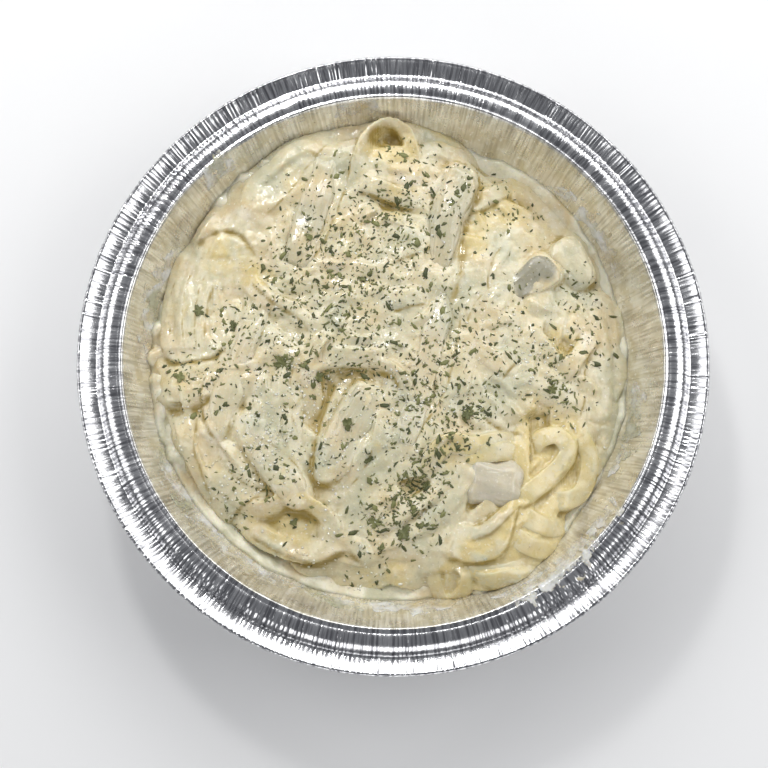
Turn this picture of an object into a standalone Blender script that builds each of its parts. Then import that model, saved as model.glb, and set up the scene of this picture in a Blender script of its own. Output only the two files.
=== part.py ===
"""Fettuccine alfredo with chicken in a round foil tray, as closed solids at real size.

Units are metres. +Z is up and the origin is the centre of the tray's base.
The tray is one thin turned shell. In it stand a pool of cream sauce that follows the wall,
the heap of noodles, and the chicken pieces that lie half sunk in the heap.
"""

import math

import bmesh
import bpy
from mathutils import Vector, noise

# Foil tray
RIM_HEIGHT = 0.0460
MOUTH_RADIUS = 0.1010
CREASE_RADIUS = 0.1104
RIM_RADIUS = 0.1175
WALL_RUN = 0.47  # how far the wall leans out for each metre of height
BASE_FILLET = 0.0050
FOIL_THICKNESS = 0.0004
LIP_RISE = 0.0003
SHOULDER_RISE = 0.0010
CREASE_DROP = 0.0009
HEM_DROP = 0.0010
FLUTE_DEPTH = 0.0004
TRAY_SPOKES = 72
LIP_SHARE = 0.12  # where the lip stands, as a share of the shoulder's width
SHOULDER_SHARES = (0.35, 0.6, 0.85)
MERGE_DISTANCE = 0.00001

# Food levels
POOL_LEVEL = 0.0245
CROWN_LEVEL = 0.0362
POOL_WIDTH = 0.0075
SAUCE_FILM = 0.0014
LUMP_HEIGHT = 0.0013
LUMP_SIZE = 0.019
FIT_GAP = 0.0003
WALL_GAP = 0.0006
EDGE_RISE = 0.0018  # how far the heap's edge stands above the pool
EDGE_INSET = 0.0010
CLIMB_INSET = 0.0005
FULL_CLIMB = 0.0060  # a rise at which the noodles hide the pool
FOOT_HEIGHT = 0.0040
FOOT_INSET = 0.0030
POOL_FOOT_INSET = 0.0024
DOME_POWER = 2.6
LUMP_POWER = 4
FINE_LUMP_SIZE = 0.55  # as a share of the lump size
FINE_LUMP_HEIGHT = 0.6
FOOD_SPOKES = 60
HEAP_ROWS = 18
HEAP_TOP_ROWS = 12
HEAP_SIDE_ROWS = 2
# Where the noodles climb the wall: direction and half width in degrees, rise above the pool
CLIMBS = ((112.0, 62.0, 0.0115), (188.0, 48.0, 0.0068), (300.0, 30.0, 0.0080))

# Chicken pieces: start, middle and end of the centre line seen from above in millimetres,
# then width at the end, thickness and the height of the top, also in millimetres, and how many
# times as wide the piece is at its start
CHICKEN = (
    ((-25, 81), (-30, 60), (-38, 34), 14, 8, 40.2, 1.0),
    ((28, 75), (20, 60), (17, 33), 11, 9, 40.3, 1.5),
    ((19, 27), (15, 0), (4, -35), 12, 8, 40.0, 0.9),
    ((-8, -12), (-16, -28), (-25, -47), 14, 8, 39.8, 1.15),
    ((-49, 21), (-60, -3), (-67, -31), 11, 8, 39.6, 1.2),
    ((-56, -22), (-46, -38), (-33, -55), 12, 7, 38.6, 1.15),
    ((26, -46), (37, -48), (49, -50), 18, 11, 40.0, 0.9),
    ((45, 26), (54, 31), (62, 38), 15, 7, 36.9, 0.7),
    ((64, 46), (70, 39), (75, 30), 11, 6, 33.4, 1.4),
)
CHICKEN_SIDES = 12
CHICKEN_ROWS = 8
END_BLUNTNESS = 6
END_ROUNDING = 0.4
SECTION_POWER = 0.75
WIDTH_UNEVENNESS = 0.10
UNEVENNESS_SCALE = 3
MM = 0.001


def clear_scene():
    """Removes every object of the open scene."""
    for obj in list(bpy.data.objects):
        bpy.data.objects.remove(obj)


def new_collection(name):
    """A new collection linked to the scene."""
    made = bpy.data.collections.new(name)
    bpy.context.scene.collection.children.link(made)
    return made


def material(name, colour, roughness, metallic=0.0):
    """A Principled material of one colour."""
    made = bpy.data.materials.new(name)
    made.use_nodes = True
    shader = made.node_tree.nodes["Principled BSDF"]
    shader.inputs["Base Color"].default_value = (*colour, 1.0)
    shader.inputs["Roughness"].default_value = roughness
    shader.inputs["Metallic"].default_value = metallic
    made.diffuse_color = (*colour, 1.0)
    return made


def add_object(name, mesh, collection, look=None):
    """Links a mesh as an object, with its material."""
    if look:
        mesh.materials.append(look)
    obj = bpy.data.objects.new(name, mesh)
    collection.objects.link(obj)
    return obj


def mesh_from(bm, name):
    """Turns a bmesh into a smooth-shaded mesh and frees it."""
    mesh = bpy.data.meshes.new(name)
    bm.to_mesh(mesh)
    bm.free()
    mesh.shade_smooth()
    return mesh


def wall_radius(height):
    """Radius of the outside of the tray's wall at a height."""
    return MOUTH_RADIUS - WALL_RUN * (RIM_HEIGHT - height)


def inner_radius(height):
    """Radius that food may reach at a height, clear of the foil."""
    return wall_radius(height) - FOIL_THICKNESS - WALL_GAP


# ---------------------------------------------------------------- foil tray


def fillet_points(steps=3):
    """The round corner between the tray's base and its wall, as (radius, height) points."""
    lean = math.atan(WALL_RUN)
    turn = math.pi / 2 - lean
    start = wall_radius(0) - BASE_FILLET * math.tan(turn / 2)
    points = []
    for step in range(steps + 1):
        angle = turn * step / steps
        points.append(
            (start + BASE_FILLET * math.sin(angle), BASE_FILLET * (1 - math.cos(angle)))
        )
    return points


def tray_profile():
    """The underside of the foil from the centre of the base to the outer hem."""
    top = RIM_HEIGHT - FOIL_THICKNESS - SHOULDER_RISE
    shoulder = CREASE_RADIUS - MOUTH_RADIUS
    points = [(0.0, 0.0), *fillet_points()]
    points.append((wall_radius(RIM_HEIGHT / 2), RIM_HEIGHT / 2))
    points.append((wall_radius(top), top))
    points.append((MOUTH_RADIUS + LIP_SHARE * shoulder, top + LIP_RISE))
    for share in SHOULDER_SHARES:
        rise = SHOULDER_RISE * math.sin(math.pi * share)
        points.append((MOUTH_RADIUS + share * shoulder, top + rise))
    points.append((CREASE_RADIUS, top - CREASE_DROP))
    points.append((RIM_RADIUS - HEM_DROP, top + CREASE_DROP / 2))
    points.append((RIM_RADIUS - FOIL_THICKNESS, top - HEM_DROP))
    return points


def flute(vertex):
    """Presses alternate spokes of the rim down, as crimped foil is."""
    radius = math.hypot(vertex.co.x, vertex.co.y)
    spoke = round(math.atan2(vertex.co.y, vertex.co.x) * TRAY_SPOKES / (2 * math.pi))
    share = (radius - MOUTH_RADIUS) / (RIM_RADIUS - MOUTH_RADIUS)
    if share > 0 and spoke % 2:
        vertex.co.z -= FLUTE_DEPTH * share


def build_tray(collection, look):
    """The foil tray: a turned profile, its rim fluted, given the foil's thickness."""
    profile = bpy.data.meshes.new("tray_profile")
    points = [(radius, 0.0, height) for radius, height in tray_profile()]
    edges = [(i, i + 1) for i in range(len(points) - 1)]
    profile.from_pydata(points, edges, [])
    turned = add_object("tray_turned", profile, collection)
    screw = turned.modifiers.new("Screw", "SCREW")
    screw.steps = TRAY_SPOKES
    screw.render_steps = TRAY_SPOKES
    screw.use_merge_vertices = True
    screw.merge_threshold = MERGE_DISTANCE
    screw.use_smooth_shade = True
    graph = bpy.context.evaluated_depsgraph_get()
    mesh = bpy.data.meshes.new_from_object(turned.evaluated_get(graph))
    bpy.data.objects.remove(turned)
    bm = bmesh.new()
    bm.from_mesh(mesh)
    for vertex in bm.verts:
        flute(vertex)
    bmesh.ops.recalc_face_normals(bm, faces=bm.faces)
    if sum(face.normal.z * face.calc_area() for face in bm.faces) < 0:
        bmesh.ops.reverse_faces(bm, faces=bm.faces)
    bm.to_mesh(mesh)
    bm.free()
    mesh.name = "foil_tray"
    tray = add_object("foil_tray", mesh, collection, look)
    shell = tray.modifiers.new("Foil", "SOLIDIFY")
    shell.thickness = FOIL_THICKNESS
    shell.offset = 1.0
    return tray


# ---------------------------------------------------------------- food


def climb(angle):
    """How far the noodles stand above the pool at the wall, in a direction."""
    highest = 0.0
    for centre, half_width, rise in CLIMBS:
        away = abs((math.degrees(angle) - centre + 180) % 360 - 180) / half_width
        if away < 1:
            highest = max(highest, rise * (0.5 + 0.5 * math.cos(math.pi * away)))
    return highest


def pool_width(angle):
    """Width of the sauce between the noodles and the wall, in a direction."""
    cover = min(1.0, climb(angle) / FULL_CLIMB)
    return SAUCE_FILM + POOL_WIDTH * (1 - cover)


def heap_side(height, angle):
    """Radius of the heap's side below the pool's level."""
    return inner_radius(height) - pool_width(angle) - FIT_GAP


def heap_edge(angle):
    """(radius, height) where the heap's side turns into its top."""
    rise = climb(angle)
    height = POOL_LEVEL + EDGE_RISE + rise
    cover = min(1.0, rise / FULL_CLIMB)
    beside_pool = heap_side(POOL_LEVEL, angle) - EDGE_INSET
    at_wall = inner_radius(height) - CLIMB_INSET
    return beside_pool + (at_wall - beside_pool) * cover, height


def lumps(x, y):
    """Uneven relief of the tangled noodles, at most one lump height."""
    broad = noise.noise(Vector((x, y, 0.0)) / LUMP_SIZE)
    fine = noise.noise(Vector((x, y, 0.5)) / (FINE_LUMP_SIZE * LUMP_SIZE))
    return LUMP_HEIGHT * (broad + FINE_LUMP_HEIGHT * fine)


def heap_point(row, angle):
    """A point of the heap's skin: top rows from the middle out, then side rows, then the base."""
    floor = FOIL_THICKNESS + FIT_GAP
    edge_radius, edge_height = heap_edge(angle)
    if row <= HEAP_TOP_ROWS:
        share = row / HEAP_TOP_ROWS
        radius = edge_radius * share
        x, y = radius * math.cos(angle), radius * math.sin(angle)
        dome = (1 - share**DOME_POWER) * (CROWN_LEVEL - edge_height)
        height = edge_height + dome + lumps(x, y) * (1 - share**LUMP_POWER)
        return Vector((x, y, height))
    if row == HEAP_TOP_ROWS + 1:
        radius, height = heap_side(POOL_LEVEL, angle), POOL_LEVEL
    elif row == HEAP_TOP_ROWS + HEAP_SIDE_ROWS:
        radius, height = heap_side(FOOT_HEIGHT, angle) - FOOT_INSET, floor
    else:
        left = HEAP_ROWS - row
        outer = heap_side(FOOT_HEIGHT, angle) - FOOT_INSET
        radius = outer * left / (HEAP_ROWS - HEAP_TOP_ROWS - HEAP_SIDE_ROWS)
        height = floor
    return Vector((radius * math.cos(angle), radius * math.sin(angle), height))


def build_heap(collection, look):
    """The heap of noodles: a sphere's rows and spokes moved onto the heap's skin."""
    bm = bmesh.new()
    bmesh.ops.create_uvsphere(bm, u_segments=FOOD_SPOKES, v_segments=HEAP_ROWS, radius=1)
    for vertex in bm.verts:
        row = round(math.acos(max(-1, min(1, vertex.co.z))) * HEAP_ROWS / math.pi)
        vertex.co = heap_point(row, math.atan2(vertex.co.y, vertex.co.x))
    return add_object("fettuccine", mesh_from(bm, "fettuccine"), collection, look)


def pool_section(angle):
    """The pool's section in a direction, as (radius, height) points round its outline."""
    floor = FOIL_THICKNESS + FIT_GAP
    width = pool_width(angle)
    foot = fillet_points()[0][0] - WALL_GAP
    return (
        (inner_radius(POOL_LEVEL), POOL_LEVEL),
        (inner_radius(POOL_LEVEL) - width, POOL_LEVEL),
        (inner_radius(FOOT_HEIGHT) - width, FOOT_HEIGHT),
        (inner_radius(FOOT_HEIGHT) - width - POOL_FOOT_INSET, floor),
        (foot, floor),
        (inner_radius(FOOT_HEIGHT), FOOT_HEIGHT),
    )


def build_pool(collection, look):
    """The ring of cream sauce that lies between the noodles and the wall."""
    corners = len(pool_section(0))
    bm = bmesh.new()
    ring = bmesh.ops.create_circle(bm, radius=1, segments=FOOD_SPOKES)["verts"]
    loops = []
    for corner in range(corners):
        loop = []
        for vertex in ring:
            angle = math.atan2(vertex.co.y, vertex.co.x)
            radius, height = pool_section(angle)[corner]
            place = (radius * math.cos(angle), radius * math.sin(angle), height)
            loop.append(bm.verts.new(place))
        loops.append(loop)
    bmesh.ops.delete(bm, geom=ring, context="VERTS")
    for loop in loops:
        for i, vertex in enumerate(loop):
            bm.edges.new((vertex, loop[(i + 1) % len(loop)]))
    for i, loop in enumerate(loops):
        following = loops[(i + 1) % corners]
        edges = [e for e in bm.edges if all(v in loop for v in e.verts)]
        edges += [e for e in bm.edges if all(v in following for v in e.verts)]
        bmesh.ops.bridge_loops(bm, edges=edges)
    bmesh.ops.recalc_face_normals(bm, faces=bm.faces)
    return add_object("cream_sauce", mesh_from(bm, "cream_sauce"), collection, look)


def strip_mesh(name, spec, grow=0.0):
    """A chicken piece: a sphere drawn out along a bent centre line, with blunt ends."""
    start, middle, end, width, thickness, top, flare = spec
    start, middle, end = (Vector((*point, 0)) * MM for point in (start, middle, end))
    half_width = width * MM / 2 + grow
    half_height = thickness * MM / 2 + grow
    centre_height = top * MM - thickness * MM / 2
    bm = bmesh.new()
    bmesh.ops.create_uvsphere(
        bm, u_segments=CHICKEN_SIDES, v_segments=CHICKEN_ROWS, radius=1
    )
    for vertex in bm.verts:
        share = (1 - vertex.co.z) / 2
        around = math.atan2(vertex.co.y, vertex.co.x)
        fullness = max(0.0, 1 - abs(vertex.co.z) ** END_BLUNTNESS) ** END_ROUNDING
        along = (
            start * (1 - share) ** 2 + middle * 2 * share * (1 - share) + end * share**2
        )
        heading = ((middle - start) * (1 - share) + (end - middle) * share).normalized()
        along += heading * grow * (2 * share - 1)
        side = Vector((heading.y, -heading.x, 0))
        across = math.copysign(abs(math.cos(around)) ** SECTION_POWER, math.cos(around))
        upward = math.copysign(abs(math.sin(around)) ** SECTION_POWER, math.sin(around))
        uneven = 1 + WIDTH_UNEVENNESS * noise.noise(Vector((share * UNEVENNESS_SCALE, width, top)))
        spread = half_width * (1 + (flare - 1) * (1 - share))
        vertex.co = along + side * spread * fullness * across * uneven
        vertex.co.z += centre_height + half_height * fullness * upward
    return mesh_from(bm, name)


def build_chicken(collection, cutters, look):
    """Every chicken piece, and beside each a slightly larger cutter that seats it in the heap."""
    for number, spec in enumerate(CHICKEN, start=1):
        name = f"chicken_{number}"
        add_object(name, strip_mesh(name, spec), collection, look)
        cutter = add_object(f"seat_{number}", strip_mesh("seat", spec, FIT_GAP), cutters)
        cutter.hide_render = True
        cutter.display_type = "WIRE"


def seat_chicken(heap, cutters):
    """Cuts the chicken's seats into the heap."""
    for cutter in cutters.objects:
        cut = heap.modifiers.new(cutter.name, "BOOLEAN")
        cut.operation = "DIFFERENCE"
        cut.solver = "EXACT"
        cut.object = cutter


def main():
    """Builds the tray, the sauce, the noodles and the chicken."""
    clear_scene()
    food = new_collection("fettuccine_alfredo")
    cutters = new_collection("cutters")
    foil = material("foil", (0.80, 0.80, 0.81), 0.30, 1.0)
    cream = material("cream", (0.86, 0.80, 0.64), 0.35)
    noodle = material("noodle", (0.84, 0.74, 0.50), 0.40)
    chicken = material("chicken", (0.76, 0.70, 0.60), 0.50)
    build_tray(food, foil)
    build_pool(food, cream)
    heap = build_heap(food, noodle)
    build_chicken(food, cutters, chicken)
    seat_chicken(heap, cutters)


main()
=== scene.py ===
"""Fettuccine alfredo with chicken in a round foil tray: its finished looks.

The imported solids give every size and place. Around them this script makes the crimped foil,
the noodles under their coat of cream sauce, the chicken, the parsley and the smears on the rim.
Lengths in the tables are millimetres, as seen from straight above: +X is right, +Y is away.
"""

import logging
import math
import random
from dataclasses import dataclass, field
from enum import Enum
from typing import Callable, Iterable, Sequence

import bmesh
import bpy
import numpy as np
from mathutils import Matrix, Vector, noise
from mathutils.bvhtree import BVHTree

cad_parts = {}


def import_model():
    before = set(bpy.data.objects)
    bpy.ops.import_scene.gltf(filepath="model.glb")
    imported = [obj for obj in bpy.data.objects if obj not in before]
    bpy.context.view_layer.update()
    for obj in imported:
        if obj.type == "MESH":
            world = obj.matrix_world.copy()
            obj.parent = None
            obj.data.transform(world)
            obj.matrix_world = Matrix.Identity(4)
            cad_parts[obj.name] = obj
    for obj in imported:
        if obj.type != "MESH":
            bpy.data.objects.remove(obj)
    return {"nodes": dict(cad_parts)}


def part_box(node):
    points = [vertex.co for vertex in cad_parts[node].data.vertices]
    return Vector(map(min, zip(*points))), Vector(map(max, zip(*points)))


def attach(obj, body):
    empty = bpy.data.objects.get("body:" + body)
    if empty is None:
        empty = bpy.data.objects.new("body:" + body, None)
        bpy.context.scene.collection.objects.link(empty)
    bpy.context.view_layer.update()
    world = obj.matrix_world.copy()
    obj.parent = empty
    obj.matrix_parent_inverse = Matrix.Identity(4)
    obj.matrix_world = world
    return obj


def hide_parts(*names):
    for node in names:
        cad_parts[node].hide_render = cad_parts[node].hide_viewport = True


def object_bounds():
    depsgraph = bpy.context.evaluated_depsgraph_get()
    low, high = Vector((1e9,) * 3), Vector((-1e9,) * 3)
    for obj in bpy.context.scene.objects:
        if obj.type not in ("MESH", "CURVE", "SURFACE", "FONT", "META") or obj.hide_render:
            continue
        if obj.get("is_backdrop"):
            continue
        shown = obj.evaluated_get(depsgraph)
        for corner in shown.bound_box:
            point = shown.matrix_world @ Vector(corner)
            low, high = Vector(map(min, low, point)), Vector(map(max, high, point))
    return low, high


LOG = logging.getLogger("alfredo")
MM = 0.001
SEED = 4
ABOVE = 80 * MM  # the height from which rays look down
DOWN = Vector((0, 0, -1))
Colour = tuple[float, float, float]
Place = tuple[float, float, float]
Socket = bpy.types.NodeSocket
SAUCE_TONE: Colour = (0.705, 0.640, 0.435)
WHITE_SAUCE: Colour = (0.73, 0.675, 0.495)
DIM_SAUCE: Colour = (0.575, 0.53, 0.365)
POOL_TONE: Colour = (0.91, 0.86, 0.68)
PEACH: Colour = (0.685, 0.565, 0.335)
SAGE: Colour = (0.565, 0.545, 0.38)
DULL: Colour = (0.46, 0.43, 0.25)
FROST: Colour = (0.78, 0.745, 0.61)
SPATTER: Colour = (0.94, 0.92, 0.84)
GRATED: Colour = (0.93, 0.90, 0.79)
CRUMB_TONE: Colour = (0.90, 0.86, 0.70)
NOODLE_TONE: Colour = (0.715, 0.585, 0.28)
CHICKEN_TONE: Colour = (0.59, 0.54, 0.415)
COATED_CHICKEN: Colour = (0.575, 0.525, 0.36)
SHADED_CHICKEN: Colour = (0.345, 0.325, 0.24)
# Painted shade: the colour that darkens creases and hollows
PAINTED_CREVICE_SHADE: Colour = (0.36, 0.255, 0.050)


# ---------------------------------------------------------------- small tools


def blurred(values: np.ndarray, reach: float) -> np.ndarray:
    """Smooths a line or a square field of numbers with a bell curve, its edges held.

    Args:
        values: The numbers.
        reach: The bell's standard deviation, in steps.

    Returns:
        The smoothed numbers.
    """
    size = int(3 * reach) + 1
    bell = np.exp(-0.5 * (np.arange(-size, size + 1) / reach) ** 2)
    bell /= bell.sum()
    padded = np.pad(values, size, mode="edge")
    for axis in range(values.ndim):
        padded = np.apply_along_axis(np.convolve, axis, padded, bell, "same")
    return padded[(slice(size, -size),) * values.ndim]


def smooth_route(knots: Sequence[Sequence[float]], spacing: float) -> np.ndarray:
    """Draws a smooth curve through a few points.

    Args:
        knots: One row for each point: x, y, and whatever else changes along the way.
        spacing: The distance between the curve's points.

    Returns:
        Rows as in knots, evenly spaced along the curve.
    """
    knots = np.asarray(knots, float)
    ends = 2 * knots[[0, -1]] - knots[[1, -2]]
    chain = np.vstack([ends[:1], knots, ends[1:]])
    share = np.linspace(0, 1, 24, endpoint=False)[:, None]
    pieces = []
    for a, b, c, d in zip(chain, chain[1:], chain[2:], chain[3:]):
        bend = 2 * a - 5 * b + 4 * c - d
        twist = 3 * b - 3 * c + d - a
        pieces.append(b + 0.5 * (share * (c - a) + share**2 * bend + share**3 * twist))
    curve = np.vstack([*pieces, knots[-1:]])
    steps = np.hypot(*np.diff(curve[:, :2], axis=0).T)
    along = np.concatenate([[0], np.cumsum(steps)])
    places = np.linspace(0, along[-1], max(4, int(along[-1] / spacing) + 1))
    return np.stack([np.interp(places, along, column) for column in curve.T], axis=1)


def sidelong(run: np.ndarray) -> np.ndarray:
    """Unit rows that point to the left of rows of x and y."""
    return np.stack([-run[:, 1], run[:, 0]], axis=1) / np.maximum(np.hypot(*run.T), 1e-9)[:, None]


def away_from(x: np.ndarray, y: np.ndarray, spot: Sequence[float]) -> np.ndarray:
    """How far points in metres lie from a spot of x, y and radius, squared, in its radii."""
    return ((x / MM - spot[0]) ** 2 + (y / MM - spot[1]) ** 2) / spot[2] ** 2


def coordinates(mesh: bpy.types.Mesh) -> np.ndarray:
    """The mesh's vertices as rows of x, y, z."""
    flat = np.empty(3 * len(mesh.vertices), np.float32)
    mesh.vertices.foreach_get("co", flat)
    return flat.reshape(-1, 3).astype(float)


def facings(mesh: bpy.types.Mesh) -> np.ndarray:
    """The mesh's normals at its vertices, as rows."""
    return np.array([vertex.normal for vertex in mesh.vertices])


def move_to(mesh: bpy.types.Mesh, places: np.ndarray) -> None:
    """Puts the mesh's vertices at rows of x, y, z."""
    mesh.vertices.foreach_set("co", places.astype(np.float32).ravel())
    mesh.update()


def add_attribute(mesh: bpy.types.Mesh, name: str, values: np.ndarray) -> None:
    """Stores one number for each vertex, for a material to read."""
    layer = mesh.attributes.new(name, "FLOAT", "POINT")
    layer.data.foreach_set("value", values.astype(np.float32))


def mesh_of(bm: bmesh.types.BMesh, name: str) -> bpy.types.Mesh:
    """Turns a bmesh into a smooth-shaded mesh and frees it.

    Args:
        bm: The bmesh.
        name: The mesh's name.

    Returns:
        The mesh.
    """
    mesh = bpy.data.meshes.new(name)
    bm.to_mesh(mesh)
    bm.free()
    mesh.shade_smooth()
    return mesh


def bmesh_of(*meshes: bpy.types.Mesh) -> bmesh.types.BMesh:
    """A bmesh that holds a copy of every mesh."""
    bm = bmesh.new()
    for mesh in meshes:
        bm.from_mesh(mesh)
    return bm


def link(name: str, data: bpy.types.ID) -> bpy.types.Object:
    """A new object in the scene."""
    obj = bpy.data.objects.new(name, data)
    bpy.context.scene.collection.objects.link(obj)
    return obj


def finished(obj: bpy.types.Object, *spent: bpy.types.Object) -> bpy.types.Mesh:
    """Applies the object's modifiers, and removes it and what it spent.

    Args:
        obj: The object.
        spent: Others that it needed, and that can go too.

    Returns:
        The mesh.
    """
    graph = bpy.context.evaluated_depsgraph_get()
    mesh = bpy.data.meshes.new_from_object(obj.evaluated_get(graph))
    for gone in (obj, *spent):
        bpy.data.objects.remove(gone)
    return mesh


def modify(obj: bpy.types.Object, kind: str, **settings: object) -> None:
    """Adds a modifier with its settings."""
    modifier = obj.modifiers.new(kind.title(), kind)
    for key, value in settings.items():
        setattr(modifier, key, value)


def tree_of(meshes: Iterable[bpy.types.Mesh]) -> BVHTree:
    """A search tree over the faces of several meshes.

    Args:
        meshes: The meshes.

    Returns:
        The tree.
    """
    points, faces = [], []
    for mesh in meshes:
        start = len(points)
        points.extend(vertex.co.copy() for vertex in mesh.vertices)
        faces.extend([start + i for i in face.vertices] for face in mesh.polygons)
    return BVHTree.FromPolygons(points, faces)


# ---------------------------------------------------------------- materials


class Wiring:
    """Adds and joins the nodes of one node tree."""

    def __init__(self, tree: bpy.types.NodeTree) -> None:
        """Starts on a tree."""
        self.tree = tree

    def feed(self, node: bpy.types.Node, inputs: dict) -> None:
        """Sets a node's sockets, by name or number, to values, or joins them to sockets.

        Args:
            node: The node.
            inputs: Socket name or number to a value or a socket.
        """
        for key, value in inputs.items():
            socket = node.inputs[key]
            if isinstance(value, Socket):
                self.tree.links.new(value, socket)
            else:
                socket.default_value = (*value, 1.0) if socket.type == "RGBA" else value

    def add(self, kind: str, inputs: dict | None = None, **settings: object) -> bpy.types.Node:
        """Adds a node.

        Args:
            kind: The node's type, without its ShaderNode prefix.
            inputs: What its sockets are fed.
            settings: Properties of the node itself.

        Returns:
            The node.
        """
        prefix = "" if kind.startswith("NodeGroup") else "ShaderNode"
        node = self.tree.nodes.new(prefix + kind)
        for key, value in settings.items():
            setattr(node, key, value)
        self.feed(node, inputs or {})
        return node

    def math(self, operation: str, *values: object) -> Socket:
        """The result of one sum on numbers or sockets."""
        return self.add("Math", dict(enumerate(values)), operation=operation).outputs[0]

    def times(self, value: object, factor: object, more: object = 0.0) -> Socket:
        """A value times a factor, and more added."""
        return self.math("MULTIPLY_ADD", value, factor, more)

    def ramp(self, value: object, low: float, high: float) -> Socket:
        """A value brought smoothly from 0 at low to 1 at high."""
        sockets = {"Value": value, "From Min": low, "From Max": high}
        return self.add("MapRange", sockets, interpolation_type="SMOOTHSTEP").outputs["Result"]

    def mix(self, share: object, first: object, second: object) -> Socket:
        """The blend of two colours, each a colour or a socket."""
        factor, first_colour, second_colour, result = 0, 6, 7, 2
        sockets = {factor: share, first_colour: first, second_colour: second}
        return self.add("Mix", sockets, data_type="RGBA").outputs[result]

    def noise(self, scale: float, detail: float = 3.0) -> Socket:
        """Cloudy noise on the piece's own coordinates; scale is in lumps a metre."""
        place = self.add("TexCoord").outputs["Object"]
        return self.add("TexNoise", {"Vector": place, "Scale": scale, "Detail": detail}).outputs[0]

    def attribute(self, name: str) -> Socket:
        """A number stored on the mesh."""
        return self.add("Attribute", attribute_name=name).outputs["Fac"]

    def bump(self, height: Socket, distance: float) -> Socket:
        """The normal of a surface raised by a height."""
        sockets = {"Height": height, "Distance": distance, "Strength": 1.0}
        return self.add("Bump", sockets).outputs["Normal"]


def new_group(name: str, takes: dict[str, object], gives: Iterable[str]) -> tuple[Wiring, object]:
    """Starts a shader node group with named sockets.

    Args:
        name: The group's name.
        takes: Input name to its default, a number or a colour.
        gives: Output names; Colour is a colour, and the rest are numbers.

    Returns:
        A Wiring on the group, and its inputs as sockets to take from.
    """
    group = bpy.data.node_groups.new(name, "ShaderNodeTree")
    for key, value in takes.items():
        number = isinstance(value, float)
        kind = "NodeSocketFloat" if number else "NodeSocketColor"
        socket = group.interface.new_socket(key, in_out="INPUT", socket_type=kind)
        socket.default_value = value if number else (*value, 1.0)
    for key in gives:
        kind = "NodeSocketColor" if key == "Colour" else "NodeSocketFloat"
        group.interface.new_socket(key, in_out="OUTPUT", socket_type=kind)
    wires = Wiring(group)
    return wires, wires.add("NodeGroupInput").outputs


def new_material(name: str, tint: Colour) -> tuple[bpy.types.Material, Wiring, bpy.types.Node]:
    """Starts a material.

    Args:
        name: The material's name.
        tint: Its plain colour.

    Returns:
        The material, a Wiring on its nodes, and its shader.
    """
    made = bpy.data.materials.new(name)
    made.use_nodes = True
    made.diffuse_color = (*tint, 1.0)
    return made, Wiring(made.node_tree), made.node_tree.nodes["Principled BSDF"]


def creamy_group() -> bpy.types.NodeTree:
    """The look of food under cream sauce, shared by everything that the sauce touches.

    Returns:
        A group that takes the colours of bare food and sauce with masks for how much sauce lies
        there and how much painted shade it gets in creases and hollows, and gives Colour, Roughness
        and Height.
    """
    takes = {"Bare": NOODLE_TONE, "Sauce": SAUCE_TONE, "Cover": 0.5, "Depth": 0.0, "Grain": 1.0}
    wires, take = new_group("creamy", takes, ("Colour", "Roughness", "Height"))
    patch, fleck, hue = wires.noise(260.0), wires.noise(900.0, 2.0), wires.noise(62.0, 4.0)
    cover = wires.math("ADD", take["Cover"], wires.times(wires.noise(85.0, 4.0), 1.5, -0.75))
    cover = wires.ramp(wires.math("ADD", cover, wires.times(patch, 0.8, -0.4)), 0.05, 0.95)
    sauce = wires.mix(wires.ramp(hue, 0.47, 0.66), take["Sauce"], PEACH)
    sauce = wires.mix(wires.ramp(wires.math("SUBTRACT", 1.0, hue), 0.50, 0.68), sauce, SAGE)
    frost = wires.times(wires.ramp(wires.noise(64.0, 5.0), 0.56, 0.72), 0.55)
    colour = wires.mix(cover, take["Bare"], wires.mix(frost, sauce, FROST))
    pale = wires.times(wires.ramp(fleck, 0.60, 0.78), take["Grain"])
    colour = wires.mix(wires.times(pale, 0.7), colour, GRATED)
    dull = wires.times(wires.ramp(wires.noise(620.0, 4.0), 0.56, 0.74), take["Grain"])
    colour = wires.mix(wires.times(dull, 0.40), colour, DULL)
    # Painted shade: creases and hollows, made a little patchy, are darkened towards the crevice colour.
    deep = wires.math("ADD", take["Depth"], wires.times(patch, 0.3, -0.15))
    colour = wires.mix(wires.times(wires.ramp(deep, 0.1, 1.35), 0.92), colour, PAINTED_CREVICE_SHADE)
    rough = wires.times(wires.ramp(patch, 0.35, 0.7), 0.24, 0.24)
    height = wires.times(wires.math("ADD", patch, wires.times(fleck, 0.35)), take["Grain"])
    wires.add("NodeGroupOutput", {"Colour": colour, "Roughness": rough, "Height": height})
    return wires.tree


def crinkle_group() -> bpy.types.NodeTree:
    """The fine creases and uneven shine of crimped foil.

    Returns:
        A group that takes Amount and gives Roughness, Height, and Streak from 0 in a crease to 1,
        the mask for the shade painted into the creases.
    """
    wires, take = new_group("crinkle", {"Amount": 1.0}, ("Roughness", "Height", "Streak"))
    place = wires.add("TexCoord").outputs["Object"]
    part = wires.add("SeparateXYZ", {"Vector": place}).outputs
    turn = wires.times(wires.math("ARCTAN2", part["Y"], part["X"]), 0.105)
    squares = wires.times(part["X"], part["X"], wires.times(part["Y"], part["Y"]))
    climb = wires.times(wires.math("ADD", wires.math("POWER", squares, 0.5), part["Z"]), 0.05)
    spot = wires.add("CombineXYZ", {"X": turn, "Y": climb}).outputs[0]
    streaks = wires.add("TexNoise", {"Vector": spot, "Scale": 900.0, "Detail": 3.0}).outputs[0]
    height = wires.math("ADD", streaks, wires.times(wires.noise(1500.0), 0.2))
    rough = wires.times(wires.ramp(wires.noise(160.0), 0.3, 0.7), 0.10, 0.16)
    results = {
        "Roughness": rough, "Height": wires.times(height, take["Amount"]),
        "Streak": wires.ramp(streaks, 0.36, 0.60),
    }
    wires.add("NodeGroupOutput", results)
    return wires.tree


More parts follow.
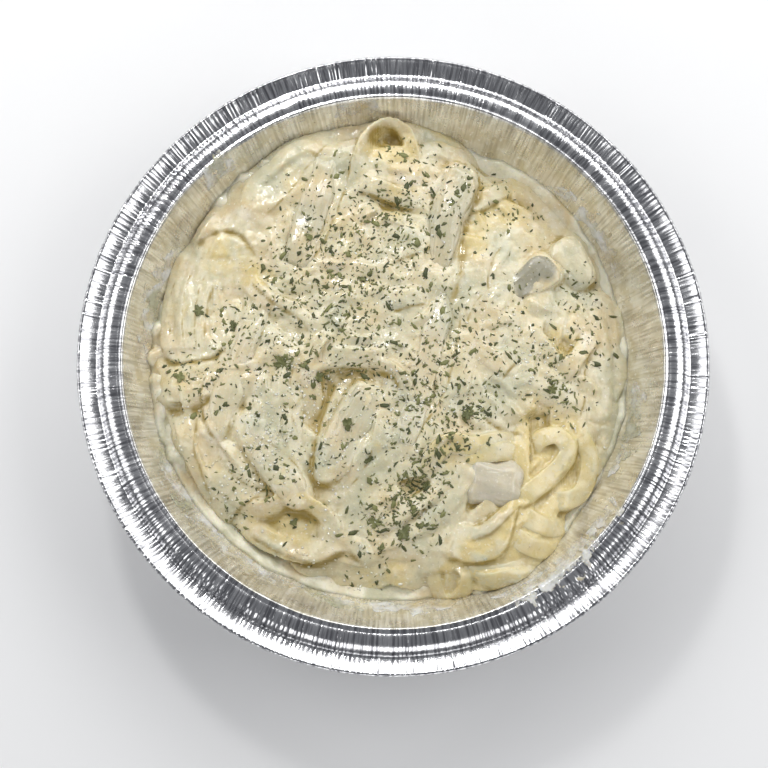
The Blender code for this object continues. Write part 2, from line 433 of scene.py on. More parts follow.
@dataclass(frozen=True)
class CreamyFinish:
    """Food under cream sauce.

    Cover and depth name the mesh's own numbers that say how much sauce lies at a spot and how
    much painted shade falls on it, or hold one value for the whole piece.
    """

    name: str
    bare: Colour
    sauce: Colour = SAUCE_TONE
    cover: str | float = 1.0
    depth: str | float = 0.0
    grain: float = 1.0
    clear: float = 1.0
    bump: float = 0.00032
    glow: float = 0.25
    bleed: Colour = (0.0030, 0.0020, 0.0009)
    wet: float = 0.5
    wet_roughness: float = 0.09

    def build(self, group: bpy.types.NodeTree) -> bpy.types.Material:
        """Makes the material from the creamy node group.

        Args:
            group: The group that works out the look.

        Returns:
            The finished material.
        """
        made, wires, shader = new_material(self.name, self.sauce)
        cover, depth = (wires.attribute(m) if isinstance(m, str) else m for m in (self.cover, self.depth))
        takes = {"Bare": self.bare, "Sauce": self.sauce, "Cover": cover, "Depth": depth, "Grain": self.grain}
        look = wires.add("Group", node_tree=group)
        wires.feed(look, takes)
        wires.feed(shader, {
            "Base Color": look.outputs["Colour"], "Roughness": look.outputs["Roughness"],
            "Normal": wires.bump(look.outputs["Height"], self.bump),
            "Subsurface Weight": self.glow, "Subsurface Radius": self.bleed, "Subsurface Scale": 1.0,
            "Coat Weight": self.wet, "Coat Roughness": self.wet_roughness,
        })
        if self.clear < 1:
            patches = wires.ramp(wires.noise(210.0, 4.0), 0.36, 0.66)
            wires.feed(shader, {"Alpha": wires.times(patches, self.clear, 0.12)})
        return made


@dataclass(frozen=True)
class FoilFinish:
    """Bright crimped aluminium foil, filmed with sauce low on the inside of the wall."""

    name: str = "foil"
    metal: Colour = (0.90, 0.90, 0.91)
    # The darker colour painted into the foil's creases as shade
    shade: Colour = (0.40, 0.40, 0.42)
    film: Colour = (0.89, 0.86, 0.74)
    stain: Colour = (0.66, 0.60, 0.42)
    bump: float = 0.00013

    def build(self, group: bpy.types.NodeTree) -> bpy.types.Material:
        """Makes the material from the crinkle node group.

        Args:
            group: The group that works out the creases.

        Returns:
            The finished material.
        """
        made, wires, shader = new_material(self.name, self.metal)
        look = wires.add("Group", node_tree=group).outputs
        film = wires.attribute("film")
        patches = wires.times(wires.noise(95.0, 5.0), 1.5, -0.75)
        film = wires.times(patches, wires.ramp(film, 0.0, 0.4), film)
        film = wires.add("Clamp", {"Value": film}).outputs[0]
        sauce = wires.mix(wires.ramp(wires.noise(170.0, 4.0), 0.38, 0.64), self.stain, self.film)
        sauce = wires.mix(wires.ramp(wires.noise(640.0, 2.0), 0.60, 0.70), sauce, SPATTER)
        # Painted shade: along the crease streaks the metal is darkened towards the shade colour, and the
        # film is mixed towards the stain colour.
        sauce = wires.mix(wires.times(look["Streak"], 0.45, 0.55), self.stain, sauce)
        metal = wires.mix(look["Streak"], self.shade, self.metal)
        wires.feed(shader, {
            "Base Color": wires.mix(film, metal, sauce), "Metallic": wires.times(film, -0.62, 1.0),
            "Roughness": wires.times(film, 0.12, look["Roughness"]),
            "Normal": wires.bump(look["Height"], self.bump),
        })
        return made


@dataclass(frozen=True)
class HerbFinish:
    """Chopped parsley, each flake a little lighter or darker than the next."""

    name: str = "parsley"
    dark: Colour = (0.056, 0.066, 0.020)
    light: Colour = (0.215, 0.220, 0.078)
    roughness: float = 0.55

    def build(self) -> bpy.types.Material:
        """Makes the material."""
        made, wires, shader = new_material(self.name, self.light)
        mottle = wires.times(wires.noise(700.0), 0.7, -0.35)
        tone = wires.ramp(wires.math("ADD", wires.attribute("tone"), mottle), 0.0, 1.0)
        colour = wires.mix(tone, self.dark, self.light)
        wires.feed(shader, {"Base Color": colour, "Roughness": self.roughness})
        return made


# ---------------------------------------------------------------- foil tray


@dataclass(frozen=True)
class TrayShape:
    """The tray's outline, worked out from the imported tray's box."""

    rim_radius: float
    rim_height: float
    mouth_share: float = 0.8596
    crease_share: float = 0.9396
    wall_run: float = 0.47
    foil: float = 0.4 * MM

    @property
    def mouth(self) -> float:
        """Radius of the tray's mouth, where the wall meets the rim."""
        return self.rim_radius * self.mouth_share

    @property
    def crease(self) -> float:
        """Radius of the crease between the rim's shoulder and its skirt."""
        return self.rim_radius * self.crease_share

    def wall(self, height: float | np.ndarray) -> float | np.ndarray:
        """Radius of the outside of the wall at a height."""
        return self.mouth - self.wall_run * (self.rim_height - height)

    def room(self, height: float | np.ndarray) -> float | np.ndarray:
        """Radius that food may reach at a height."""
        return self.wall(height) - self.foil

    def hold(self, mesh: bpy.types.Mesh) -> None:
        """Draws in every vertex of a mesh that lies outside the room for food.

        Args:
            mesh: The mesh, which is changed in place.
        """
        places = coordinates(mesh)
        radius = np.maximum(np.hypot(places[:, 0], places[:, 1]), 1e-6)
        places[:, :2] *= np.minimum(1, self.room(places[:, 2]) / radius)[:, None]
        move_to(mesh, places)


@dataclass
class FoilTray:
    """The crimped foil tray: one turned sheet, pressed into hundreds of uneven pleats.

    Columns are its lines from the middle out: their angle, and their lift from 0 to 1 in each
    of the two pleat patterns. Film_top and film_fade are where its film of sauce thins out.
    """

    shape: TrayShape
    pleats: int = 440
    thickness: float = 0.14 * MM
    corner: float = 5.0 * MM
    film_top: float = 44 * MM
    film_fade: float = 22 * MM
    columns: list[tuple[float, float, float]] = field(default_factory=list)

    def lay_out_pleats(self, rng: random.Random) -> None:
        """Places three columns on each pleat.

        Args:
            rng: The source of the pleats' unevenness.
        """
        widths = [rng.uniform(0.55, 1.45) for _ in range(self.pleats)]
        turn = math.tau / sum(widths)
        start = 0.0
        for width in widths:
            crests = rng.uniform(0.45, 1.0), rng.uniform(0.3, 1.0)
            trough, peak = rng.uniform(0.0, 0.25), rng.uniform(0.36, 0.64)
            for share, part in ((0.05, 0.0), (peak - 0.12, 0.9), (peak + 0.14, 1.0)):
                lifts = [trough + part * (crest - trough) for crest in crests]
                self.columns.append((start + share * width * turn, *lifts))
            start += width * turn

    def stations(self) -> np.ndarray:
        """The tray's outline from the base's middle to the hem.

        Returns:
            Rows of radius, height, pleat depth, and share of the second pleat pattern.
        """
        shape, corner = self.shape, self.corner
        top, mouth, crease, rim = shape.rim_height, shape.mouth, shape.crease, shape.rim_radius
        lift, foot = shape.foil / 2, shape.wall(corner) - shape.foil / 2
        step = ((30, 0), (28.5, 0.8), (26.5, 0.8), (25, 0), (9, 0))
        rows = [(foot - inward * MM, lift + rise * MM, 0, 0) for inward, rise in step]
        steep = math.pi / 2 - math.atan(shape.wall_run)
        for share in (0, 1 / 3, 2 / 3, 1):
            turn = steep * share
            radius = shape.wall(0) - corner * math.tan(steep / 2) + corner * math.sin(turn)
            rows.append((radius - lift, corner * (1 - math.cos(turn)) + lift, 0.08 * MM * share, 0))
        for share in (0.2, 0.36, 0.52, 0.68, 0.82, 0.93):
            rows.append((shape.wall(share * top) - lift, share * top, 0.28 * MM, 0.35))
        lip = ((-0.9, 1.9, 0.2, 0.3), (-0.5, 0.7, 0.06, 0.3), (0.2, 0.35, 0.04, 0.3), (0.9, 1.1, 0.08, 0.2))
        rows += [(mouth + out * MM, top - drop * MM, deep * MM, other) for out, drop, deep, other in lip]
        ridge = 0.36
        for share in (0.18, 0.30, 0.42, 0.54, 0.66, 0.78, 0.88, 0.95):
            inner, outer = max(0.0, ridge - share) / ridge, max(0.0, share - ridge) / (1 - ridge)
            drop = 0.4 + 0.8 * inner**2 + 3.6 * outer**2.4
            deep = 0.10 + 0.28 * min(1.0, outer * 2)
            rows.append((mouth + (crease - mouth) * share, top - drop * MM, deep * MM, 0.1))
        rows.append((crease, top - 4.0 * MM, 0.25 * MM, 0.3))
        for share in (0.16, 0.38, 0.6, 0.8):
            height = top - (3.9 - 3.4 * share**1.55) * MM
            rows.append((crease + (rim - crease) * share, height, 0.32 * MM, 0.8))
        hem = ((0.8, 0.8, 0.28), (0.3, 1.2, 0.26), (0.4, 2.6, 0.22), (1.1, 3.1, 0.18))
        rows += [(rim - back * MM, top - drop * MM, deep * MM, 1.0) for back, drop, deep in hem]
        return np.array(rows)

    def build(self, rng: random.Random) -> bpy.types.Object:
        """Makes the tray, foil thick, with the mask for its film of sauce.

        Args:
            rng: The source of the pleats' unevenness.

        Returns:
            The finished object.
        """
        self.lay_out_pleats(rng)
        rows = self.stations()
        bm = bmesh.new()
        ring = bmesh.ops.create_circle(bm, radius=1, segments=len(self.columns))["verts"]
        loops = [sorted(ring, key=lambda v: math.atan2(v.co.y, v.co.x) % math.tau)]
        edges = list(bm.edges)
        for _ in rows[1:]:
            made = bmesh.ops.extrude_edge_only(bm, edges=edges)["geom"]
            edges = [e for e in made if isinstance(e, bmesh.types.BMEdge)]
            fresh = {vertex for edge in edges for vertex in edge.verts}
            drawn = [[e.other_vert(v) for e in v.link_edges] for v in loops[-1]]
            loops.append([next(v for v in near if v in fresh) for near in drawn])
        run = np.gradient(rows[:, :2], axis=0)
        run /= np.hypot(run[:, 0], run[:, 1])[:, None]
        for loop, row, (out, up) in zip(loops, rows, run):
            self.place(loop, row, (-up, out))
        bmesh.ops.contextual_create(bm, geom=list(loops[0]))
        bmesh.ops.recalc_face_normals(bm, faces=bm.faces)
        sheet = link("sheet", mesh_of(bm, "foil_tray"))
        modify(sheet, "SOLIDIFY", thickness=self.thickness, offset=0.0)
        mesh = finished(sheet)
        places, facing = coordinates(mesh), facings(mesh)
        radius = np.hypot(places[:, 0], places[:, 1])
        outward = (facing[:, 0] * places[:, 0] + facing[:, 1] * places[:, 1]) / np.maximum(radius, 1e-6)
        inside = (facing[:, 2] > outward) & (radius < self.shape.mouth)
        share = np.clip((places[:, 2] - self.film_top + self.film_fade) / self.film_fade, 0, 1)
        add_attribute(mesh, "film", np.where(inside, 1.05 - 0.55 * share, 0))
        return link("foil", mesh)

    def place(self, loop: list[bmesh.types.BMVert], row: np.ndarray, tilt: tuple[float, float]) -> None:
        """Puts one loop of vertices on its row of the outline, pleated along the tilt.

        Args:
            loop: The vertices, in the order of the columns.
            row: The row of the outline.
            tilt: The outline's upward normal there, as (radial, vertical).
        """
        radius, height, depth, other = row.tolist()
        for vertex, (angle, first, second) in zip(loop, self.columns):
            lift = first * (1 - other) + second * other
            spot = Vector((math.cos(angle) * 6, math.sin(angle) * 6, radius * 22))
            lift *= depth * (1 + 0.8 * noise.noise(spot * 2.3))
            out = radius + tilt[0] * lift
            up = min(height + tilt[1] * lift, self.shape.rim_height - 0.2 * MM)
            turn = angle + 0.004 * other * noise.noise(spot * 5)
            vertex.co = (out * math.cos(turn), out * math.sin(turn), up)


# ---------------------------------------------------------------- noodles


class HeightMap:
    """Heights on a square grid of 1 mm cells over the tray."""

    SIZE = 201

    def __init__(self, heights: np.ndarray | None = None) -> None:
        """Starts a map, flat at zero unless heights are given."""
        self.heights = np.zeros((self.SIZE, self.SIZE)) if heights is None else heights

    @classmethod
    def grid(cls) -> tuple[np.ndarray, np.ndarray]:
        """The x and y of every cell."""
        line = (np.arange(cls.SIZE) - cls.SIZE // 2) * MM
        return np.meshgrid(line, line, indexing="xy")

    def cells(self, x: np.ndarray, y: np.ndarray) -> tuple[np.ndarray, np.ndarray]:
        """The rows and columns nearest to points.

        Args:
            x: Where, in metres.
            y: Where, in metres.

        Returns:
            Rows and columns, within the map.
        """
        column, row = (
            np.clip(np.rint(part / MM) + self.SIZE // 2, 0, self.SIZE - 1).astype(int) for part in (x, y)
        )
        return row, column

    def at(self, x: np.ndarray, y: np.ndarray) -> np.ndarray:
        """The heights at points."""
        return self.heights[self.cells(x, y)]

    def raise_to(self, x: np.ndarray, y: np.ndarray, height: np.ndarray) -> None:
        """Lifts the map to at least these heights."""
        np.maximum.at(self.heights, self.cells(x, y), height)


def filled_tray(name: str, shape: TrayShape, level: Callable, bottom: float) -> bpy.types.Mesh:
    """A closed body that fills the tray from side to side.

    Args:
        name: The mesh's name.
        shape: The tray.
        level: Gives the upper surface's height at x and y.
        bottom: The height of the flat base.

    Returns:
        The body, its edge against the wall.
    """
    bm = bmesh.new()
    bmesh.ops.create_uvsphere(bm, u_segments=240, v_segments=120, radius=1)
    mesh = mesh_of(bm, name)
    x, y, z = coordinates(mesh).T
    share = 2 * np.arccos(np.clip(np.abs(z), 0, 1)) / math.pi
    upper = z > -1e-4
    angle = np.arctan2(y, x)
    middling, lowest, highest = 30 * MM, 18 * MM, 40 * MM
    edge = np.full(len(z), shape.room(middling))
    for _ in range(8):
        height = np.clip(level(edge * np.cos(angle), edge * np.sin(angle)), lowest, highest)
        edge = (edge + shape.room(height)) / 2
    edge = np.where(upper, edge, shape.room(bottom)) * share
    x, y = edge * np.cos(angle), edge * np.sin(angle)
    move_to(mesh, np.stack([x, y, np.where(upper, level(x, y), bottom)], axis=1))
    return mesh


class Coat(Enum):
    """How much sauce a noodle lies under."""

    DEEP = "sunk in the sauce"
    THIN = "bare, with a thin gloss of sauce"


@dataclass(frozen=True)
class Noodle:
    """One noodle's route: rows of x, y, lift above what it lies on, and roll in degrees.

    A lift or a roll of zero may be left out at the end of its row.
    """

    knots: tuple[tuple[float, ...], ...]
    width: float = 7.4
    coat: Coat = Coat.DEEP


# Noodles that show by themselves, in the order in which they lie
SHOWN_NOODLES = (
    # left: a bundle that runs down and folds under
    Noodle(((-66, 42), (-73, 34, 0, 5), (-74, 20, 0.4, 4), (-73, 8, 0.3), (-71, -3, -0.5))),
    Noodle(((-72, 46), (-80, 37, 0.2, 8), (-80, 20, 0.5, 5), (-79, 6, 0.4), (-78, -4, -0.5))),
    Noodle(((-78, 46), (-84, 38, 0.2, 12), (-86, 22, 0.5, 10), (-86, 8, 0.4), (-83, -3, -0.5))),
    # left: the low mound under it
    Noodle(((-64, -4), (-76, -6, 0.4), (-86, -8, 0.4, 10), (-92, -11, -0.5, 20))),
    Noodle(((-64, -10), (-75, -13, 0.5), (-84, -14, 0.5), (-91, -14, -0.5, 10))),
    # upper left: the arched sheet under the smooth lump
    Noodle(((-76, 38), (-70, 43, 0.2), (-62, 43, 0.3), (-56, 36, 0.2), (-55, 22)), width=9.0),
    Noodle(((-72, 30), (-66, 36), (-61, 33), (-60, 22)), width=9.0),
    # left of the middle: a long curved edge
    Noodle(((-62, 36), (-54, 28, 0.4, 8), (-46, 21, 0.8, 10), (-37, 17, 0.8, 8), (-28, 8))),
    Noodle(((-52, 14), (-44, 6, 0.3), (-36, -2, 0.5), (-30, -12, 0.2), (-32, -24))),
    # top: a curl that stands up, with its hollow, and the folds below it
    Noodle(((-14, 66), (-13, 76, 0.5, 20), (-10, 86, 1.2, 50), (-3, 93, 1.6, 58), (5, 90, 1.0, 50),
            (8, 80, 0, 25))),
    Noodle(((-8, 70), (-4, 79, -0.3), (0, 85, -1.2))),
    Noodle(((2, 90), (12, 93, 0.8, 5), (20, 90, 0.8, 5), (30, 83, 0, 5)), coat=Coat.THIN),
    Noodle(((8, 80), (16, 84, 0.5), (26, 82, 0.5), (34, 82, 0, 5))),
    Noodle(((-16, 69), (-8, 67, 0.8, 8), (0, 64, 1.0, 12), (8, 61, 0.8, 10), (15, 60))),
    # upper right: a fold with an orange hollow and a long pale ridge beside the wall
    Noodle(((26, 60), (34, 63, 0.6, 8), (42, 67, 0.9, 12), (52, 74, 0.4, 8))),
    Noodle(((44, 56), (50, 48, 0.3), (56, 46, 0.4), (62, 50))),
    Noodle(((40, 82, -0.5), (50, 73, 0, 12), (60, 62, 0.3, 14), (68, 52, 0.3, 14), (76, 42, 0, 10),
            (82, 28, -0.4))),
    # right: two noodles that meet in a V, and the glossy folds outside them
    Noodle(((48, 14), (54, 8, 0.6, 8), (60, 2, 0.8, 10), (65, -6))),
    Noodle(((62, -8), (68, -2, 0.8, -8), (74, 6, 0.8, -10), (81, 14, 0.2))),
    Noodle(((76, 22), (79, 10, 0.6), (80, -2, 0.9), (80, -14, 0.8), (78, -26)), width=9.0),
    Noodle(((52, 16), (51.5, 4, 0.8), (50, -6, 0.8), (47, -16)), width=6.0),
    Noodle(((28, 6), (36, 0, 0.4), (42, -4, 0.6, 8), (48, -1))),
    # middle: short folds between the chicken
    Noodle(((-6, 24), (0, 22, 0.5, 6), (8, 23, 0.6, 8), (15, 24))),
    Noodle(((-12, -4), (-6, -3, 0.2, 10), (1, -6, 0.4, 20), (5, -12, 0.2, 20), (5, -22)), width=6.0),
    Noodle(((24, 14), (27, 4, 0.5), (26, -8, 0.4), (22, -18))),
    # lower left: a long strand by the wall and a broad curl round a hollow
    Noodle(((-80, -20), (-77, -32, 0.4, 6), (-72, -45, 0.5, 8), (-65, -56, 0.3, 6), (-56, -64))),
    Noodle(((-68, -38), (-62, -48, 0.4), (-55, -54, 0.4), (-46, -55))),
    Noodle(((-58, -56), (-49, -57, 1.0, 25), (-39, -54, 1.5, 38), (-30, -56, 1.2, 35),
            (-23, -63, 0.3, 10), (-24, -72))),
    Noodle(((-46, -65, -0.6), (-38, -65, -0.4), (-29, -64, -0.6)), width=9.0),
    Noodle(((-58, -58), (-51, -66, 0.6, -12), (-41, -71, 1.2, -20), (-30, -73, 1.2, -20), (-18, -68)),
            width=9.0),
    Noodle(((-24, -66), (-15, -71, 0.4, 6), (-8, -77, 0, 8))),
    # bottom: a low arch in the pool
    Noodle(((-4, -80, -0.4), (4, -82, 0.2), (11, -85, 0.2), (13, -92, -1)), width=9.0),
    # lower right, lowest: yellow noodles near the wall
    Noodle(((18, -78), (28, -81, 0.4), (40, -81, 0.4, 4), (50, -77, 0.4, 4), (60, -70)), coat=Coat.THIN),
    Noodle(((26, -82), (33, -84, 0.3, 8), (41, -83, 0.4, 8), (50, -82, 0.2), (58, -77)), coat=Coat.THIN),
    Noodle(((40, -64), (48, -70, 0.5), (56, -72, 0.5), (66, -66)), coat=Coat.THIN),
    Noodle(((44, -56), (50, -61, 0.6), (58, -64, 0.6), (68, -62)), coat=Coat.THIN),
    Noodle(((15, -76), (15.5, -84, 0.5, 20), (19, -91, 0.6, 35), (25, -89, 0.6, 35), (27, -81, 0.6, 25),
            (22, -75)), width=5.5, coat=Coat.THIN),
    Noodle(((22, -76, -0.4), (21.6, -83), (21, -90, -0.6)), width=5.0, coat=Coat.THIN),
    # lower right: the ribbon by the wall, the ring round the yellow hollow, the folds under the chunk
    Noodle(((56, -54), (64, -54, 0.5), (70.5, -51, 0.6), (74, -44, 0.5), (74, -35, 0.4), (68, -25)),
            coat=Coat.THIN),
    Noodle(((44, -58), (50.5, -51.5, 0.8), (56, -47, 0.9, 5), (62, -42, 0.9, 5), (66, -35, 0.9, 10),
            (62, -29.5, 0.8, 16), (55, -31, 0.5, 10), (51, -37)), coat=Coat.THIN),
    Noodle(((13, -46), (15, -38, 0.5, 8), (21, -33, 0.6, 12), (30, -34, 0.6, 6), (40, -32, 0.5),
            (52, -33)), coat=Coat.THIN),
    Noodle(((24, -38), (34, -37, 0.3), (42, -36, 0.4), (54, -38)), coat=Coat.THIN),
    Noodle(((48.5, -22), (48.8, -32, 0.6), (48, -42, 0.6), (46, -52)), width=6.0),
    Noodle(((16, -68), (26, -73, 0.6, 4), (35, -72, 0.9, 8), (41, -66, 0.8, 8), (45, -55)), width=8.0),
    Noodle(((20, -65, -0.4), (28, -68, 0.2, 4), (37, -66, 0.5, 8), (44, -60, 0.5, 8), (49, -52)),
            width=9.0),
)
# Where the sauce lies thin and lets the noodles show: x, y, radius, how much lower it lies
SAUCE_DIPS = (
    (58, -42, 20, 0.8), (52, -64, 14, 0.8), (34, -78, 12, 0.8), (22, -84, 7, 1.0), (0, 84, 9, 0.8),
    (-80, 22, 12, 0.1), (31, 46, 9, 0.5), (52, 56, 9, 0.2), (-52, 30, 7, 0.35), (-6, -84, 10, 0.3),
    (-38, -63, 12, 0.7), (-80, -12, 10, 0.3), (2, 58, 10, 0.3), (42, 62, 10, 0.5), (66, 4, 9, 0.4),
    (-64, 38, 10, 0.3), (20, 93, 8, 0.7),
)


@dataclass(frozen=True)
class Fold:
    """A step in the surface, as where one noodle or sheet of sauce lies over the next.

    It stands higher on the left of its line, with a painted shadow along the crease at its foot.
    """

    knots: tuple[tuple[float, float], ...]
    rise: float = 1.0
    crease: float = 0.8
    reach: float = 5.0

    def shape(self, x: np.ndarray, y: np.ndarray) -> tuple[np.ndarray, np.ndarray]:
        """The fold's lift, in metres, and its painted shade from 0 to 1.

        Args:
            x: Where, in metres.
            y: Where, in metres.

        Returns:
            Lift and painted shade at each point.
        """
        spacing, border, steep, tip, foot_reach = 0.5, 16 * MM, 0.32, 4, 2.5
        line = smooth_route(self.knots, spacing) * MM
        low, high = line.min(axis=0) - border, line.max(axis=0) + border
        near = (x > low[0]) & (x < high[0]) & (y > low[1]) & (y < high[1])
        across, along = x[near, None] - line[:, 0], y[near, None] - line[:, 1]
        gap = np.hypot(across, along)
        nearest = gap.argmin(axis=1)
        rows = np.arange(len(nearest))
        run = np.gradient(line, axis=0)[nearest]
        side = run[:, 0] * along[rows, nearest] - run[:, 1] * across[rows, nearest]
        away = np.copysign(gap[rows, nearest], side) / MM
        fade = np.clip(np.minimum(nearest, len(line) - 1 - nearest) * spacing / tip, 0, 1)
        fade = fade * fade * (3 - 2 * fade)
        step = 1 / (1 + np.exp(-np.clip(away, -9, 9) / steep))
        crest = step * np.exp(-np.maximum(away, 0) / self.reach)
        foot = (1 - step) * np.exp(np.minimum(away, 0) / foot_reach)
        lift, dark = np.zeros(len(x)), np.zeros(len(x))
        uneven = np.array([noise.noise(Vector((a, b, 3)) * 260) for a, b in zip(x[near], y[near])])
        lift[near] = self.rise * MM * fade * (1 + 0.5 * uneven) * (crest - 0.3 * foot)
        wide = self.crease * (1 + 0.9 * uneven)
        # The painted shadow in the crease at the fold's foot.
        dark[near] = fade * np.clip(0.85 + 1.1 * uneven, 0, 1) * np.exp(-(((away + 0.4 * wide) / wide) ** 2))
        return lift, dark


# Folds: their line, how high the raised side stands, the width of the painted crease shadow, and how far the
# rise reaches.
FOLDS = (
    Fold(((-78, 44), (-72, 48), (-66, 50), (-60, 49), (-56, 45), (-51, 38)), 1.6, 1.3, 8),
    Fold(((-89, 6), (-85, -0.5), (-78, -2), (-68, 0), (-63, 5)), 1.6, 1.2),
    Fold(((-92, -13), (-86, -18.5), (-79, -20), (-72, -18), (-68, -13)), 1.6, 1.5),
    Fold(((-55, 30), (-48, 23), (-44, 19.5), (-37, 15.5), (-30, 8)), 0.8, 0.7),
    Fold(((-63, -66), (-60, -59), (-54, -54), (-49, -52)), 0.8, 0.7),
    Fold(((-73, -22), (-74, -34), (-71, -44), (-67, -56)), 0.7, 0.6),
    Fold(((-52, -62), (-46, -60.5), (-39, -57.5), (-33, -58.5), (-28, -62), (-28, -69)), 0.9, 1.5),
    Fold(((-54, -66), (-45, -71.5), (-36, -75.5), (-28, -76.5), (-20, -73), (-16, -73), (-10, -79)),
          1.5, 0.9),
    Fold(((-11, 82), (-8, 89), (-3, 92), (2, 90), (5, 82)), 0.8, 1.1),
    Fold(((-15, 65.5), (-7, 63), (0, 60), (7, 58), (11, 59)), 0.9, 0.45),
    Fold(((-10, -5), (-4, -6), (1, -9), (3, -14)), 1.0, 1.1),
    Fold(((-2, 16.5), (6, 19), (15, 20.5)), 0.6, 0.5),
    Fold(((-2, 35), (6, 39), (13, 42), (15, 48)), 1.1, 0.4),
    Fold(((28, 57), (35, 59), (41, 63), (48, 68)), 0.9, 0.8),
    Fold(((66, -3), (60, 5), (55, 9)), 0.8, 0.7),
    Fold(((73, 11), (68, 3), (63, -2)), 0.8, 0.7),
    Fold(((39, -11), (43, -6), (47.5, -0.5)), 0.7, 0.6),
    Fold(((33, -23), (41, -27.5), (51, -29)), 0.9, 0.7),
    Fold(((16, -42), (18, -35), (22, -32), (30, -31.5)), 0.8, 1.0),
    Fold(((27, -69.5), (36, -66), (43, -59.5), (48.5, -54.5)), 1.1, 0.6),
    Fold(((19, -74.5), (28, -77), (36, -76), (41, -72), (44, -64), (46, -56)), 1.2, 0.8),
    Fold(((46, -58), (53, -54), (58.5, -50), (62.5, -45), (66.5, -40.5), (69.5, -35), (69, -28)), 1.1, 0.7),
    Fold(((60, -57), (67, -58), (72, -55), (76, -49), (77.5, -41)), 0.9, 0.6),
    Fold(((26, -79.5), (32, -84.5), (38, -87), (42, -84.5), (45, -85), (50, -89)), 1.2, 0.9),
    Fold(((-36, 79), (-32, 81), (-27, 77)), 0.6, 1.1),
    Fold(((-34, 34), (-27, 44), (-22, 56), (-18, 68), (-16, 78)), -0.5, 0.6, 5),
    Fold(((-24, 86), (-32, 76), (-40, 64), (-50, 54)), -0.4, 0.45, 6),
    Fold(((19, 16), (25, 30), (27, 44), (29, 56), (36, 70)), -0.5, 1.4, 5),
    Fold(((8, -30), (18, -16), (23, 0), (26, 18)), -0.4, 0.5, 6),
    Fold(((-84, 3), (-86, 14), (-85.5, 26), (-82, 36)), 0.5, 0.3, 3),
    Fold(((-79, 2), (-80.5, 14), (-80, 26), (-77, 37)), 0.6, 0.3, 3),
    Fold(((-74.5, 2), (-75.5, 12), (-75, 24), (-72, 34)), 0.6, 0.35, 3),
    Fold(((-71, -1), (-71.5, 10), (-71, 21), (-68, 31)), 0.9, 0.5, 4),
    Fold(((-56, -2), (-50, 8), (-46, 20), (-44, 27)), 0.7, 0.4, 6),
    Fold(((-36, -29), (-39, -18), (-38, -6), (-33, 4)), 0.7, 0.35, 6),
    Fold(((-19, 10), (-16, 20), (-12, 30), (-11, 38)), 0.6, 0.3, 6),
    Fold(((38, 16), (36, 27), (38, 38), (43, 46)), 0.7, 0.4, 6),
    Fold(((44, 30), (36, 26), (30, 18), (28, 10)), 0.6, 0.3, 6),
    Fold(((70, -24), (73, -14), (73, -4), (76, 4)), 0.6, 0.4, 5),
    Fold(((-18, -50), (-12, -44), (-8, -35), (-10, -28)), 0.6, 0.3, 6),
    Fold(((-52, -30), (-44, -34), (-36, -41), (-30, -50)), 0.6, 0.3, 6),
    Fold(((-66, -36), (-60, -44), (-52, -49), (-44, -50)), 0.6, 0.4, 5),
    Fold(((-10, 60), (-12, 50), (-9, 40)), 0.6, 0.3, 5),
    Fold(((-21, -9), (-25, -18), (-28, -28), (-29.5, -39), (-29.5, -46), (-25, -48), (-20, -45.5),
          (-15, -40)), 1.3, 1.1, 7),
    Fold(((-70, -6), (-71.5, -14), (-71, -22.6), (-68, -29), (-64.5, -32), (-62, -28), (-61, -22)),
          1.2, 0.6, 6),
)
# Broad soft mounds: x, y, half length, half width, turn in degrees, height
MOUNDS = (
    (-62, 59, 20, 12, 35, 1.8), (-81, -9, 12, 8, 5, 0.9), (5, 48, 9, 7, 0, 1.3), (32, 36, 8, 17, 0, 0.7),
    (78, -12, 6, 14, 0, 0.7), (-66, 34, 10, 10, 0, 0.6), (8, 93, 30, 6, -8, 2.2), (-32, 88, 20, 6, 15, 1.6),
    (51, -2, 3.5, 15, 5, 0.7), (-62, -44, 14, 9, -60, 0.6), (17, 31, 8, 7, 90, 2.2),
    (70, 44, 16, 5, -55, 0.8), (52, 34, 15, 8, 30, 0.8), (70, 40, 12, 8, -55, 1.0),
    (-62, -10, 14, 5, 75, 0.8),
)
# Hollows between noodles: x, y, radius, depth
HOLLOWS = (
    (0, 88, 4.5, 2.5), (-39, -61, 5, 3), (-82, -21, 4, 1), (59, -38, 5, 2), (48, 62, 3.5, 1.5),
    (65, 2, 2.5, 1), (18, -45, 3, 2.5), (31, -83, 2.5, 2), (-31, 79, 2.5, 2), (32, -50, 10, 1.5),
)


@dataclass(frozen=True)
class LaidNoodle:
    """A noodle where it came to rest: rows of x, y, z, and roll in radians."""

    line: np.ndarray
    width: float
    coat: Coat


